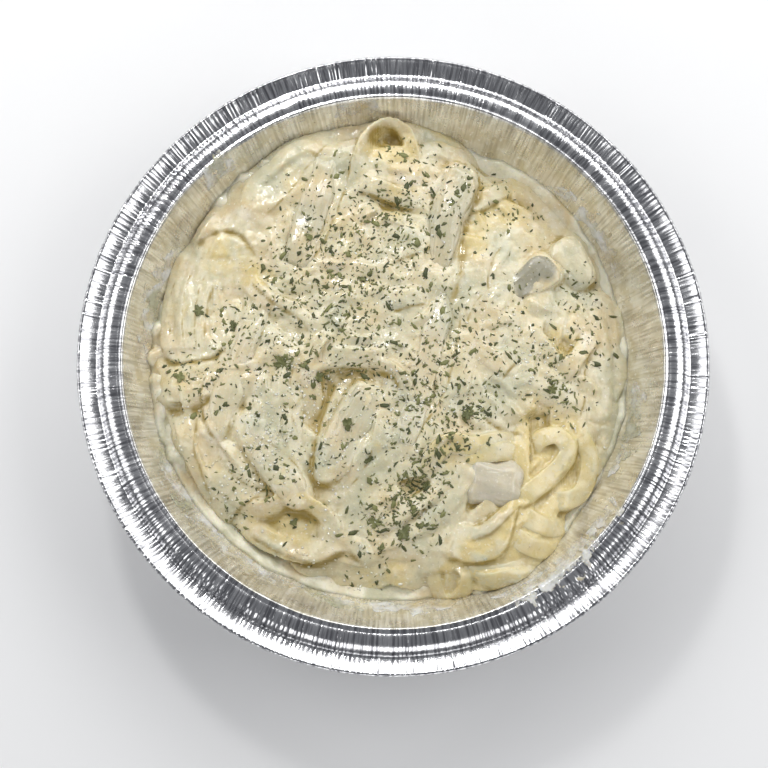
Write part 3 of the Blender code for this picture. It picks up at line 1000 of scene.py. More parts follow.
@dataclass
class NoodleHeap:
    """The tangle of noodles and the sauce that coats it, over a solid core.

    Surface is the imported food's upper side, seats how far it draws back under the chicken, and
    ground what the next noodle would lie on. Spread, the stray noodles' reach from the middle, and
    spacing, the step along a route, are in millimetres, and the other lengths in metres.
    """

    shape: TrayShape
    thickness: float = 1.6 * MM
    usual_width: float = 7.4 * MM
    stray_bundles: int = 44
    spread: float = 84
    spacing: float = 1.5
    voxel: float = 0.78 * MM
    trim_height: float = 16 * MM
    relief: float = 0.7
    dive: float = 3.6 * MM
    tuck: float = 9.0 * MM
    lumps: float = 1.1 * MM
    surface: HeightMap | None = None
    seats: HeightMap | None = None
    ground: HeightMap | None = None
    laid: list[LaidNoodle] = field(default_factory=list)

    def survey(self, nodes: dict[str, bpy.types.Object]) -> None:
        """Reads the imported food's upper surface, the chicken's seats filled in.

        Args:
            nodes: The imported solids.
        """
        food = tree_of([nodes["fettuccine"].data, nodes["cream_sauce"].data])
        chicken = tree_of([o.data for n, o in nodes.items() if n.startswith("chicken")])
        xs, ys = HeightMap.grid()
        heights, meat = np.full(xs.shape, np.nan), np.zeros(xs.shape)
        for cell in zip(*np.nonzero(np.hypot(xs, ys) <= self.shape.mouth)):
            start = Vector((xs[cell], ys[cell], ABOVE))
            under = food.ray_cast(start, DOWN)[0]
            if chicken.ray_cast(start, DOWN)[0]:
                meat[cell] = 1
            elif under:
                heights[cell] = under.z
        known = np.isfinite(heights)
        for reach in (4, 12, 40):
            weight = blurred(known.astype(float), reach)
            filled = blurred(np.where(known, heights, 0), reach) / np.maximum(weight, 1e-9)
            fillable = ~known & (weight > 0.02)
            heights[fillable] = filled[fillable]
            known |= fillable
        heights[~known] = heights[known].min()
        heights = np.maximum(blurred(heights, 1.5), blurred(heights, 7.0) - 0.8 * MM)
        pool_top = coordinates(nodes["cream_sauce"].data)[:, 2].max()
        shallow = blurred((heights < pool_top + 0.6 * MM).astype(float), 1.5)
        beside = np.clip(blurred(meat, 2.5) * 5, 0, 1)
        self.surface = HeightMap(heights)
        self.ground = HeightMap(heights - (3.6 + 4.0 * shallow - 2.9 * beside) * MM)

    def seat(self, strips: Iterable["ChickenStrip"]) -> None:
        """Notes how far the sauce draws back under each strip of chicken.

        Args:
            strips: The chicken.
        """
        self.seats = HeightMap()
        xs, ys = HeightMap.grid()
        for strip in strips:
            tree = tree_of([strip.node.data])
            low, high = np.array(strip.node.bound_box)[[0, 6]]
            near = (xs > low[0]) & (xs < high[0]) & (ys > low[1]) & (ys < high[1])
            for cell in zip(*np.nonzero(near)):
                if tree.ray_cast(Vector((xs[cell], ys[cell], ABOVE)), DOWN)[0]:
                    self.seats.heights[cell] = strip.look.proud * MM
        self.seats.heights = blurred(self.seats.heights, 1.6)

    def stray_routes(self, rng: random.Random) -> Iterable[Noodle]:
        """Bundles of noodles that wander over the heap.

        Args:
            rng: The source of their routes.

        Yields:
            Noodles, the lowest first.
        """
        look_ahead, stride = 12, 9
        for bundle in range(self.stray_bundles):
            distance, direction = self.spread * math.sqrt(rng.random()), rng.uniform(0, math.tau)
            x, y = distance * math.cos(direction), distance * math.sin(direction)
            heading, bend = rng.uniform(0, math.tau), rng.gauss(0, 0.25)
            knots = []
            for _ in range(rng.randint(7, 15)):
                knots.append((x, y))
                bend = 0.7 * bend + rng.gauss(0, 0.22)
                heading += bend
                ahead = x + look_ahead * math.cos(heading), y + look_ahead * math.sin(heading)
                if math.hypot(*ahead) > self.spread:
                    inward = math.atan2(-y, -x)
                    turn = (inward - heading + math.pi) % math.tau - math.pi
                    heading += math.copysign(min(abs(turn), 0.9), turn)
                x, y = x + stride * math.cos(heading), y + stride * math.sin(heading)
            line = np.array(knots)
            side = sidelong(np.gradient(line, axis=0))
            strands = rng.randint(2, 4)
            lift = 1.2 * bundle / self.stray_bundles
            for strand in range(strands):
                moved = line + side * ((strand - (strands - 1) / 2) * rng.uniform(5.0, 7.5))
                rows = [(*p, lift + rng.gauss(0, 0.4), rng.gauss(0, 12)) for p in moved]
                yield Noodle(tuple(rows), width=rng.uniform(6.6, 8.0))

    def lay(self, noodle: Noodle, proud: float) -> None:
        """Lets one noodle settle on what lies under it.

        Args:
            noodle: The noodle.
            proud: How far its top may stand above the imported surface.
        """
        route = smooth_route([(*knot, 0, 0)[:4] for knot in noodle.knots], self.spacing)
        x, y, lift, roll = route.T * np.array([[MM], [MM], [MM], [math.pi / 180]])
        half = noodle.width * MM / 2
        side = sidelong(np.gradient(np.stack([x, y], axis=1), axis=0))
        steps = np.minimum(np.arange(len(x)), np.arange(len(x))[::-1]) * self.spacing * MM
        lift = lift * self.relief - self.dive * np.clip(1 - steps / self.tuck, 0, 1) ** 1.5
        across = np.linspace(-1, 1, 9)[None, :] * half
        flat = np.cos(roll)[:, None]
        spread_x = x[:, None] + side[:, :1] * across * flat
        spread_y = y[:, None] + side[:, 1:] * across * flat
        under = self.ground.at(spread_x, spread_y)
        support = blurred(0.5 * under.max(axis=1) + 0.5 * under.mean(axis=1), 2.5)
        rise = half * np.abs(np.sin(roll)) * 0.8 + self.thickness / 2
        ceiling = self.surface.at(x, y) + proud * MM + rise
        height = blurred(np.minimum(support + rise + lift, ceiling), 1.5)
        bank = np.arctan2(under[:, -1] - under[:, 0], 2 * half) * 0.6
        roll = blurred(roll + np.clip(bank, -0.4, 0.4), 2)
        top = height[:, None] + across * np.sin(roll)[:, None] + self.thickness / 2
        self.ground.raise_to(spread_x, spread_y, top)
        self.laid.append(LaidNoodle(np.stack([x, y, height, roll], axis=1), noodle.width, noodle.coat))

    def swept(self, name: str, noodles: list[LaidNoodle], sides: int) -> bpy.types.Mesh:
        """Sweeps a noodle's flat section along each route.

        Args:
            name: The mesh's name.
            noodles: The noodles.
            sides: Points round the section.

        Returns:
            One mesh with every noodle as a closed body.
        """
        section = bpy.data.curves.new("section", "CURVE")
        outline = section.splines.new("POLY")
        outline.points.add(sides - 1)
        outline.use_cyclic_u = True
        for i, point in enumerate(outline.points):
            turn = math.tau * i / sides
            wide = math.copysign(abs(math.cos(turn)) ** 0.55, math.cos(turn))
            thick = math.copysign(abs(math.sin(turn)) ** 0.8, math.sin(turn))
            point.co = (wide * self.usual_width / 2, thick * self.thickness / 2, 0, 1)
        curve = bpy.data.curves.new(name, "CURVE")
        curve.dimensions = "3D"
        curve.twist_mode = "Z_UP"
        curve.bevel_mode = "OBJECT"
        curve.bevel_object = link("section", section)
        curve.use_fill_caps = True
        for noodle in noodles:
            spline = curve.splines.new("POLY")
            spline.points.add(len(noodle.line) - 1)
            for point, (*place, roll) in zip(spline.points, noodle.line):
                point.co = (*place, 1)
                point.tilt = roll
                point.radius = noodle.width * MM / self.usual_width
        bm = bmesh_of(finished(link(name, curve), curve.bevel_object))
        bmesh.ops.remove_doubles(bm, verts=bm.verts, dist=1e-6)
        bmesh.ops.recalc_face_normals(bm, faces=bm.faces)
        return mesh_of(bm, name)

    def sauce_level(self) -> HeightMap:
        """The level of the thick sauce between the noodles, lower where they stand out.

        Returns:
            The level as a map.
        """
        level = blurred(self.ground.heights, 2.6) - 0.4 * MM
        xs, ys = HeightMap.grid()
        for *spot, drop in SAUCE_DIPS:
            level -= 0.8 * drop * MM * np.exp(-away_from(xs, ys, spot))
        for x, y, long, wide, turn, height in MOUNDS:
            heading = math.radians(turn)
            east, north = xs / MM - x, ys / MM - y
            along = (east * math.cos(heading) + north * math.sin(heading)) / long
            across = (north * math.cos(heading) - east * math.sin(heading)) / wide
            level += height * MM * np.exp(-((along**2 + across**2) ** 1.3))
        for *spot, depth in HOLLOWS:
            level -= depth * MM * np.exp(-(away_from(xs, ys, spot) ** 2))
        return HeightMap(level)

    def coated(self, name: str, bodies: list[bpy.types.Mesh]) -> bpy.types.Mesh:
        """Merges bodies under one skin of sauce.

        Args:
            name: The mesh's name.
            bodies: Closed meshes that may run through each other.

        Returns:
            One closed mesh with a flat base at the trim height.
        """
        lump = link("lump", mesh_of(bmesh_of(*bodies), "lump"))
        modify(lump, "REMESH", mode="VOXEL", voxel_size=self.voxel, use_smooth_shade=True)
        modify(lump, "SMOOTH", factor=0.4, iterations=2)
        mesh = finished(lump)
        self.shape.hold(mesh)
        bm = bmesh_of(mesh)
        geometry, trim = [*bm.verts, *bm.edges, *bm.faces], (0, 0, self.trim_height)
        bmesh.ops.bisect_plane(bm, geom=geometry, plane_co=trim, plane_no=DOWN, clear_outer=True)
        bmesh.ops.holes_fill(bm, edges=[edge for edge in bm.edges if edge.is_boundary])
        self.drop_crumbs(bm)
        bmesh.ops.recalc_face_normals(bm, faces=bm.faces)
        return self.folded(mesh_of(bm, name))

    def folded(self, mesh: bpy.types.Mesh) -> bpy.types.Mesh:
        """Steps the mesh's upper side along every fold, and stores each crease's painted shade.

        Args:
            mesh: The mesh, which is changed in place.

        Returns:
            The same mesh.
        """
        places = coordinates(mesh)
        top = self.surface.at(places[:, 0], places[:, 1])
        share = np.clip((places[:, 2] - top + 9 * MM) / (5 * MM), 0, 1)
        for i, (x, y, z) in enumerate(places):
            spot = Vector((x, y, z * 0.5)) / MM
            waves = ((0.55, 0.13), (0.34, 0.33), (0.13, 0.8))
            lump = sum(size * noise.noise(spot * pitch) for size, pitch in waves)
            places[i, 2] += lump * self.lumps * share[i]
        places[:, 2] -= self.seats.at(places[:, 0], places[:, 1]) * share
        painted_crease_shade = np.zeros(len(places))
        for fold in FOLDS:
            lift, dark = fold.shape(places[:, 0], places[:, 1])
            places[:, 2] += lift * share
            painted_crease_shade = np.maximum(painted_crease_shade, dark)
        move_to(mesh, places)
        self.shape.hold(mesh)
        add_attribute(mesh, "crease", painted_crease_shade)
        return mesh

    @staticmethod
    def drop_crumbs(bm: bmesh.types.BMesh) -> None:
        """Deletes every loose body but the one with the most vertices.

        Args:
            bm: The bodies.
        """
        seen: set[bmesh.types.BMVert] = set()
        bodies = []
        for seed in bm.verts:
            if seed in seen:
                continue
            body, front = [], [seed]
            seen.add(seed)
            while front:
                vertex = front.pop()
                body.append(vertex)
                for edge in vertex.link_edges:
                    other = edge.other_vert(vertex)
                    if other not in seen:
                        seen.add(other)
                        front.append(other)
            bodies.append(body)
        bodies.sort(key=len)
        bmesh.ops.delete(bm, geom=[vertex for body in bodies[:-1] for vertex in body], context="VERTS")

    def mark(self, mesh: bpy.types.Mesh, noodles: BVHTree) -> None:
        """Stores how much sauce lies at each vertex, and the painted shade it gets: darker the deeper
        it lies below its surroundings and along each fold's crease.

        Args:
            mesh: The coated heap.
            noodles: A search tree over the noodles in it.
        """
        places = coordinates(mesh)
        x, y, z = places.T
        top = HeightMap(np.full_like(self.ground.heights, -1.0))
        top.raise_to(x, y, z)
        gaps = top.heights < 0
        top.heights[gaps] = self.surface.heights[gaps] - 2 * MM
        # Painted shade: the deeper a spot lies below the blurred surface, at three sizes, the darker, less
        # so near the wall; the folds' painted crease shade is added.
        depth = np.zeros(len(places))
        for reach, scale in ((1.2, 1.5), (3.5, 4.0), (8.0, 6.0)):
            below = HeightMap(blurred(top.heights, reach)).at(x, y) - z
            depth += np.clip(below / (scale * MM), 0, 1) ** 1.3
        dark = np.empty(len(places), np.float32)
        mesh.attributes["crease"].data.foreach_get("value", dark)
        inland = self.shape.room(z) - np.hypot(x, y)
        depth *= np.clip(inland / (9 * MM), 0, 1)
        add_attribute(mesh, "depth", np.clip(0.85 * depth + 1.05 * dark, 0, 1.3))
        nearest = [noodles.find_nearest(Vector(place), 2 * MM)[3] for place in places]
        cover = np.array([2 * MM if found is None else found for found in nearest])
        cover = 0.8 + np.clip(cover / (1.2 * MM), 0, 1)
        for *spot, drop in SAUCE_DIPS:
            cover -= 1.5 * drop * np.exp(-(away_from(x, y, spot) ** 1.5))
        add_attribute(mesh, "cover", np.clip(cover, 0, 1))

    def build(
        self, rng: random.Random, nodes: dict[str, bpy.types.Object], strips: Iterable["ChickenStrip"]
    ) -> tuple[bpy.types.Object, bpy.types.Object]:
        """Lays every noodle and makes the two meshes of the heap.

        Args:
            rng: The source of the stray noodles' routes.
            nodes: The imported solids.
            strips: The chicken, round which the sauce banks up.

        Returns:
            The coated heap, and the bare noodles that lie on it.
        """
        self.survey(nodes)
        self.seat(strips)
        for noodle in self.stray_routes(rng):
            self.lay(noodle, proud=0.0)
        for noodle in SHOWN_NOODLES:
            self.lay(noodle, proud=2.0)
        LOG.info("laid %d noodles", len(self.laid))
        coated = self.swept("coated", self.laid, 8)
        bare = self.folded(self.swept("bare_noodles", [n for n in self.laid if n.coat is Coat.THIN], 16))
        core = filled_tray("core", self.shape, self.sauce_level().at, self.trim_height - 4 * MM)
        heap = self.coated("sauced_noodles", [coated, core, *(strip.bank() for strip in strips)])
        self.mark(heap, tree_of([coated]))
        return link("sauced_noodles", heap), link("bare_noodles", bare)


# ---------------------------------------------------------------- chicken


@dataclass(frozen=True)
class ChickenLook:
    """How one strip of chicken shows.

    Cover is how much sauce lies on it, and feather how much more lies lower down. Fibre is how
    stringy it is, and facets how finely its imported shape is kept. Bank and proud are millimetres:
    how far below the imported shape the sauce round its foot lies, and how far the heap draws back.
    """

    cover: float
    sauce: Colour = SAUCE_TONE
    bare: Colour = COATED_CHICKEN
    fibre: float = 1.0
    facets: int = 64
    bank: float = 1.4
    proud: float = 0.0
    feather: float = 0.0


CHICKEN_LOOKS = {
    "chicken_1": ChickenLook(0.80, DIM_SAUCE, bank=2.2, proud=0.9),
    "chicken_2": ChickenLook(0.65, DIM_SAUCE, bank=2.3, proud=1.0),
    "chicken_3": ChickenLook(0.85, WHITE_SAUCE, bank=2.4, proud=0.9),
    "chicken_4": ChickenLook(0.65, DIM_SAUCE, bank=1.6),
    "chicken_5": ChickenLook(0.75, bank=1.8),
    "chicken_6": ChickenLook(0.85, WHITE_SAUCE, bank=0.9),
    "chicken_7": ChickenLook(0.15, bare=CHICKEN_TONE, fibre=0.6, facets=70, bank=4.5),
    "chicken_8": ChickenLook(-0.25, bare=SHADED_CHICKEN, facets=40, bank=1.3, proud=0.4, feather=0.85),
    "chicken_9": ChickenLook(0.75, facets=40, bank=0.8),
}


@dataclass(frozen=True)
class ChickenStrip:
    """One strip of cooked chicken, cut along the grain."""

    node: bpy.types.Object
    look: ChickenLook
    voxel: float = 0.5 * MM

    def grain(self, places: np.ndarray) -> tuple[np.ndarray, np.ndarray, np.ndarray]:
        """Finds the strip's middle, the way its grain runs, and the way across it.

        Args:
            places: Its vertices as rows of x, y, z.

        Returns:
            The middle, and the two directions, level and of unit length.
        """
        middle = places.mean(axis=0)
        spread = (places - middle)[:, :2]
        values, directions = np.linalg.eigh(spread.T @ spread)
        along = directions[:, values.argmax()]
        return middle, np.array([*along, 0]), np.array([-along[1], along[0], 0])

    def build(self) -> bpy.types.Object:
        """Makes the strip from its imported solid: finer, stringy and uneven.

        Returns:
            The finished object.
        """
        raw = link("raw", self.node.data.copy())
        modify(raw, "WELD", merge_threshold=1e-5)
        modify(raw, "DECIMATE", ratio=self.look.facets / len(raw.data.polygons))
        modify(raw, "REMESH", mode="VOXEL", voxel_size=self.voxel)
        modify(raw, "SMOOTH", iterations=5)
        mesh = finished(raw)
        mesh.shade_smooth()
        places = coordinates(mesh)
        middle, along, across = self.grain(places)
        low, high = places.min(axis=0), places.max(axis=0)
        shift = np.empty(len(places))
        for i, place in enumerate(places - middle):
            u, v, w = place @ along / MM, place @ across / MM, place[2] / MM
            sway = 1.6 * noise.noise(Vector((u * 0.08, v * 0.1, 7)))
            strings = noise.noise(Vector((u * 0.07, (v + sway) * 0.85, w * 0.8)))
            threads = noise.noise(Vector((u * 0.16, (v + sway) * 2.1, w * 2.0 + 9)))
            lumps = noise.noise(Vector((u * 0.09, v * 0.13, w * 0.15)) + Vector(middle) / MM)
            creases = 0.25 - 0.9 * abs(strings)
            shift[i] = self.look.fibre * (0.35 * creases + 0.12 * threads) + 2.0 * lumps
        places += facings(mesh) * (shift * MM)[:, None]
        now_low, now_high = places.min(axis=0), places.max(axis=0)
        places = low + (places - now_low) * (high - low) / (now_high - now_low)
        move_to(mesh, places)
        facing = facings(mesh)
        sunk = np.clip((high[2] - places[:, 2]) / MM - 0.8, 0, 2)
        cover = self.look.cover + 0.35 * np.clip(facing[:, 2], -0.2, 1) - 0.25
        add_attribute(mesh, "cover", cover + self.look.feather * sunk)
        # Painted shade: steep sides are darkened, the more so where they face right (+X).
        steep = np.clip(0.72 - facing[:, 2], 0, 0.6)
        add_attribute(mesh, "depth", 0.75 * steep * (1 + 0.8 * facing[:, 0]))
        return link(self.node.name + "_strip", mesh)

    def bank(self) -> bpy.types.Mesh:
        """The sauce that stands against the foot of the strip.

        Returns:
            A closed mesh, a little wider than the strip.
        """
        mesh = self.node.data.copy()
        places = coordinates(mesh)
        middle = places.mean(axis=0)
        places[:, :2] = middle[:2] + (places[:, :2] - middle[:2]) * 1.12
        places[:, 2] -= self.look.bank * MM
        move_to(mesh, places)
        return mesh


# ---------------------------------------------------------------- sauce round the heap


@dataclass(frozen=True)
class SaucePool:
    """The thick sauce that stands round the heap, with a wavy line where it wets the wall."""

    shape: TrayShape
    level: float
    heap: HeightMap
    bottom: float = 12 * MM
    # Where it stands high against the wall: the middle and half span in degrees, and the rise
    banks: tuple[tuple[float, float, float], ...] = ((196, 46, 4.0), (50, 18, 3.0), (110, 16, 1.5))
    # The middle and half span in degrees of the side where it also covers the heap's edge
    wet_side: tuple[float, float] = (215, 70)

    def height(self, x: np.ndarray, y: np.ndarray) -> np.ndarray:
        """The surface's height at points.

        Args:
            x: Where, in metres.
            y: Where, in metres.

        Returns:
            The heights, in metres.
        """
        heights = np.full(np.shape(x), self.level)
        stand = self.heap.at(x * 0.95, y * 0.95) / MM - self.level / MM
        for i, (px, py) in enumerate(zip(x, y)):
            spot = Vector((px, py, 0)) / MM
            swell = 0.5 * noise.noise(spot * 0.06) + 0.45 * noise.noise(spot * 0.26) - 0.4
            reach = math.hypot(px, py) / self.shape.room(self.level)
            turn = math.degrees(math.atan2(py, px)) % 360
            angle = math.radians(turn)
            side = math.exp(-(((turn - self.wet_side[0]) / self.wet_side[1]) ** 4))
            shore = 0.93 - 0.025 * side
            shore += (0.035 + 0.015 * side) * noise.noise(Vector((angle * 21, 8, 0)))
            lick = min(1.0, max(0.0, reach - shore) / (1 - shore))
            climb = 1.4 + 1.8 * noise.noise(Vector((angle * 9, 3, 0)))
            for middle, span, more in self.banks:
                climb += more * math.exp(-(((turn - middle) / span) ** 4))
            against = stand[i] * (0.78 + (0.3 + 0.2 * side) * noise.noise(spot * 0.2))
            rise = max(lick**1.5 * max(0.3, climb), min(1.0, lick + 0.5 * side * lick) * against)
            heights[i] += (swell + rise) * MM
        return heights

    def build(self) -> bpy.types.Object:
        """Makes the pool."""
        return link("sauce_pool", filled_tray("sauce_pool", self.shape, self.height, self.bottom))


@dataclass(frozen=True)
class Smear:
    """A thin patch of sauce on the foil.

    It runs from one turn to another, in degrees, and lies between two distances from the mouth
    in millimetres, measured out along the rim or, below zero, down the wall.
    """

    start: float
    end: float
    top: float
    bottom: float = -9.0


SMEARS = (
    Smear(291, 321, 6.0), Smear(318, 327, 2.0), Smear(128, 138, 4.0), Smear(196, 250, -6.0, -19.0),
    Smear(150, 182, -7.0, -17.0), Smear(246, 292, -9.0, -21.0), Smear(330, 356, -8.0, -19.0),
    Smear(92, 104, 1.2, -7.0), Smear(20, 50, -9.0, -18.0),
)


@dataclass(frozen=True)
class RimSmears:
    """Thin see-through sauce dragged over the rim and down the wall."""

    shape: TrayShape
    columns_a_radian: int = 320
    rows: int = 34
    thickness: float = 0.2 * MM
    holes: float = -0.42

    def spot(self, angle: float, travel: float) -> Vector:
        """The point so many millimetres out from the mouth, or down the wall if negative.

        Args:
            angle: The turn round the tray, in radians.
            travel: The distance, in millimetres.

        Returns:
            The point, just off the foil.
        """
        shape = self.shape
        if travel < 0:
            height = shape.rim_height - 0.6 * MM + travel * MM * 0.9
            radius = shape.wall(height) - 0.45 * MM
        else:
            share = travel * MM / (shape.crease - shape.mouth)
            radius = shape.mouth + travel * MM
            height = shape.rim_height - 0.2 * MM - 3.3 * MM * share**4.2
        return Vector((radius * math.cos(angle), radius * math.sin(angle), height))

    def build(self) -> bpy.types.Object:
        """Makes every smear as one thin mesh.

        Returns:
            The finished object.
        """
        bm = bmesh.new()
        for smear in SMEARS:
            span, tall = math.radians(smear.end - smear.start), smear.top - smear.bottom
            columns, gone = int(span * self.columns_a_radian), []
            made = bmesh.ops.create_grid(bm, x_segments=columns, y_segments=self.rows, size=0.5)
            for vertex in made["verts"]:
                turn, reach = vertex.co.x + 0.5, vertex.co.y + 0.5
                angle = math.radians(smear.start) + turn * span
                travel = smear.bottom - 3 + reach * tall * 1.5
                rough = noise.fractal(Vector((angle * 22, travel * 0.22, smear.start)), 1.0, 2.0, 4)
                sides = min(1, 5 * min(turn, 1 - turn))
                high = smear.bottom + tall * sides * (0.8 + 0.55 * rough)
                low = smear.bottom + 3 * noise.noise(Vector((angle * 14, 5, smear.start)))
                if not low < travel < high or rough < self.holes:
                    gone.append(vertex)
                vertex.co = self.spot(angle, travel) + Vector((0, 0, 0.25 * MM * rough))
            bmesh.ops.delete(bm, geom=gone, context="VERTS")
        bmesh.ops.delete(bm, geom=[v for v in bm.verts if not v.link_faces], context="VERTS")
        bmesh.ops.smooth_vert(bm, verts=bm.verts, factor=0.5, use_axis_x=True, use_axis_y=True)
        bmesh.ops.solidify(bm, geom=bm.faces, thickness=self.thickness)
        bmesh.ops.recalc_face_normals(bm, faces=bm.faces)
        return link("sauce_smears", mesh_of(bm, "sauce_smears"))


# ---------------------------------------------------------------- herbs and crumbs


class Bed:
    """The finished food, as something to strew herbs and crumbs on."""

    STEEPEST = 0.25  # the least upward part of a normal on which something stays

    def __init__(self, pieces: Iterable[bpy.types.Object], rng: random.Random) -> None:
        """Prepares a search over the pieces, and takes the source of tilts."""
        self.tree = tree_of([piece.data for piece in pieces])
        self.rng = rng

    def rest(self, x: float, y: float, turn: float, lean: float) -> Matrix | None:
        """A placement that lies on the food.

        Args:
            x: Where, in metres.
            y: Where, in metres.
            turn: Turn about the upright, in radians.
            lean: The usual tilt off the surface, in radians.

        Returns:
            The placement, or nothing if there is no food there.
        """
        spot, normal, _, _ = self.tree.ray_cast(Vector((x, y, ABOVE)), DOWN)
        if spot is None or normal.z < self.STEEPEST:
            return None
        place = Matrix.Translation(spot) @ normal.to_track_quat("Z", "Y").to_matrix().to_4x4()
        for axis in "XY":
            place @= Matrix.Rotation(self.rng.gauss(0, lean), 4, axis)
        return place @ Matrix.Rotation(turn, 4, "Z")


# Where parsley fell: x, y, spread, number of flakes
SHOWERS = (
    (22, -32, 4, 60), (-4, 22, 12, 103), (2, 66, 9, 51), (-62, -6, 7, 43), (-24, 36, 17, 614),
    (-8, 10, 22, 353), (2, 52, 14, 292), (-40, -4, 13, 175), (-32, 8, 14, 79), (10, -20, 9, 233),
    (12, -46, 7, 199), (4, -60, 9, 159), (30, -20, 4, 67), (62, -14, 7, 127), (60, -3, 5, 53),
    (76, 8, 5, 53), (74, 24, 5, 57), (46, 58, 6, 43), (-76, -10, 7, 110), (-60, 15, 7, 67),
    (-60, -54, 6, 67), (-44, -40, 10, 106), (44, 8, 10, 94), (26, 64, 8, 68), (0, 0, 48, 302),
    (-10, -72, 18, 106), (6, 84, 8, 30), (22, 4, 9, 131), (50, 30, 9, 34), (4, -52, 4, 77),
    (-3, -62, 4, 60), (34, -24, 4, 43), (-20, -36, 4, 25),
)
# Left bare: x, y, radius
CLEARINGS = (
    (60, -44, 20), (44, -78, 26), (-81, 22, 10), (-62, 58, 15), (34, -54, 14), (-44, -84, 20),
    (14, -90, 14), (-70, 34, 9),
)


@dataclass(frozen=True)
class Leaf:
    """One larger piece of parsley: x, y, length, width, turn in degrees, and lobes."""

    x: float
    y: float
    length: float
    width: float
    turn: float
    lobes: int = 5


LEAVES = (
    Leaf(-41, -3, 10, 8, 250, 7), Leaf(-17, -26, 6.2, 4.2, 60, 3), Leaf(4, -66, 7.5, 5.5, 30, 4),
    Leaf(-28, -8, 4.5, 4.5, 100, 4), Leaf(-9, -39, 5.0, 3.2, 150, 3), Leaf(-7, -62, 6.0, 5.0, 200),
    Leaf(-37, -62, 4.0, 3.0, 20, 3), Leaf(-74, 18, 6.0, 5.0, 80), Leaf(-61, 12, 5.5, 4.5, 210),
    Leaf(12, -48, 6.0, 4.5, 120), Leaf(28, -22, 6.0, 5.0, 45), Leaf(60, -12, 5.0, 4.5, 300),
    Leaf(-12, 30, 4.0, 2.2, 320, 2), Leaf(-32, 46, 4.2, 2.4, 60, 2), Leaf(-80, -8, 5.0, 4.0, 180, 4),
    Leaf(16, 64, 4.0, 2.2, 20, 2),
)


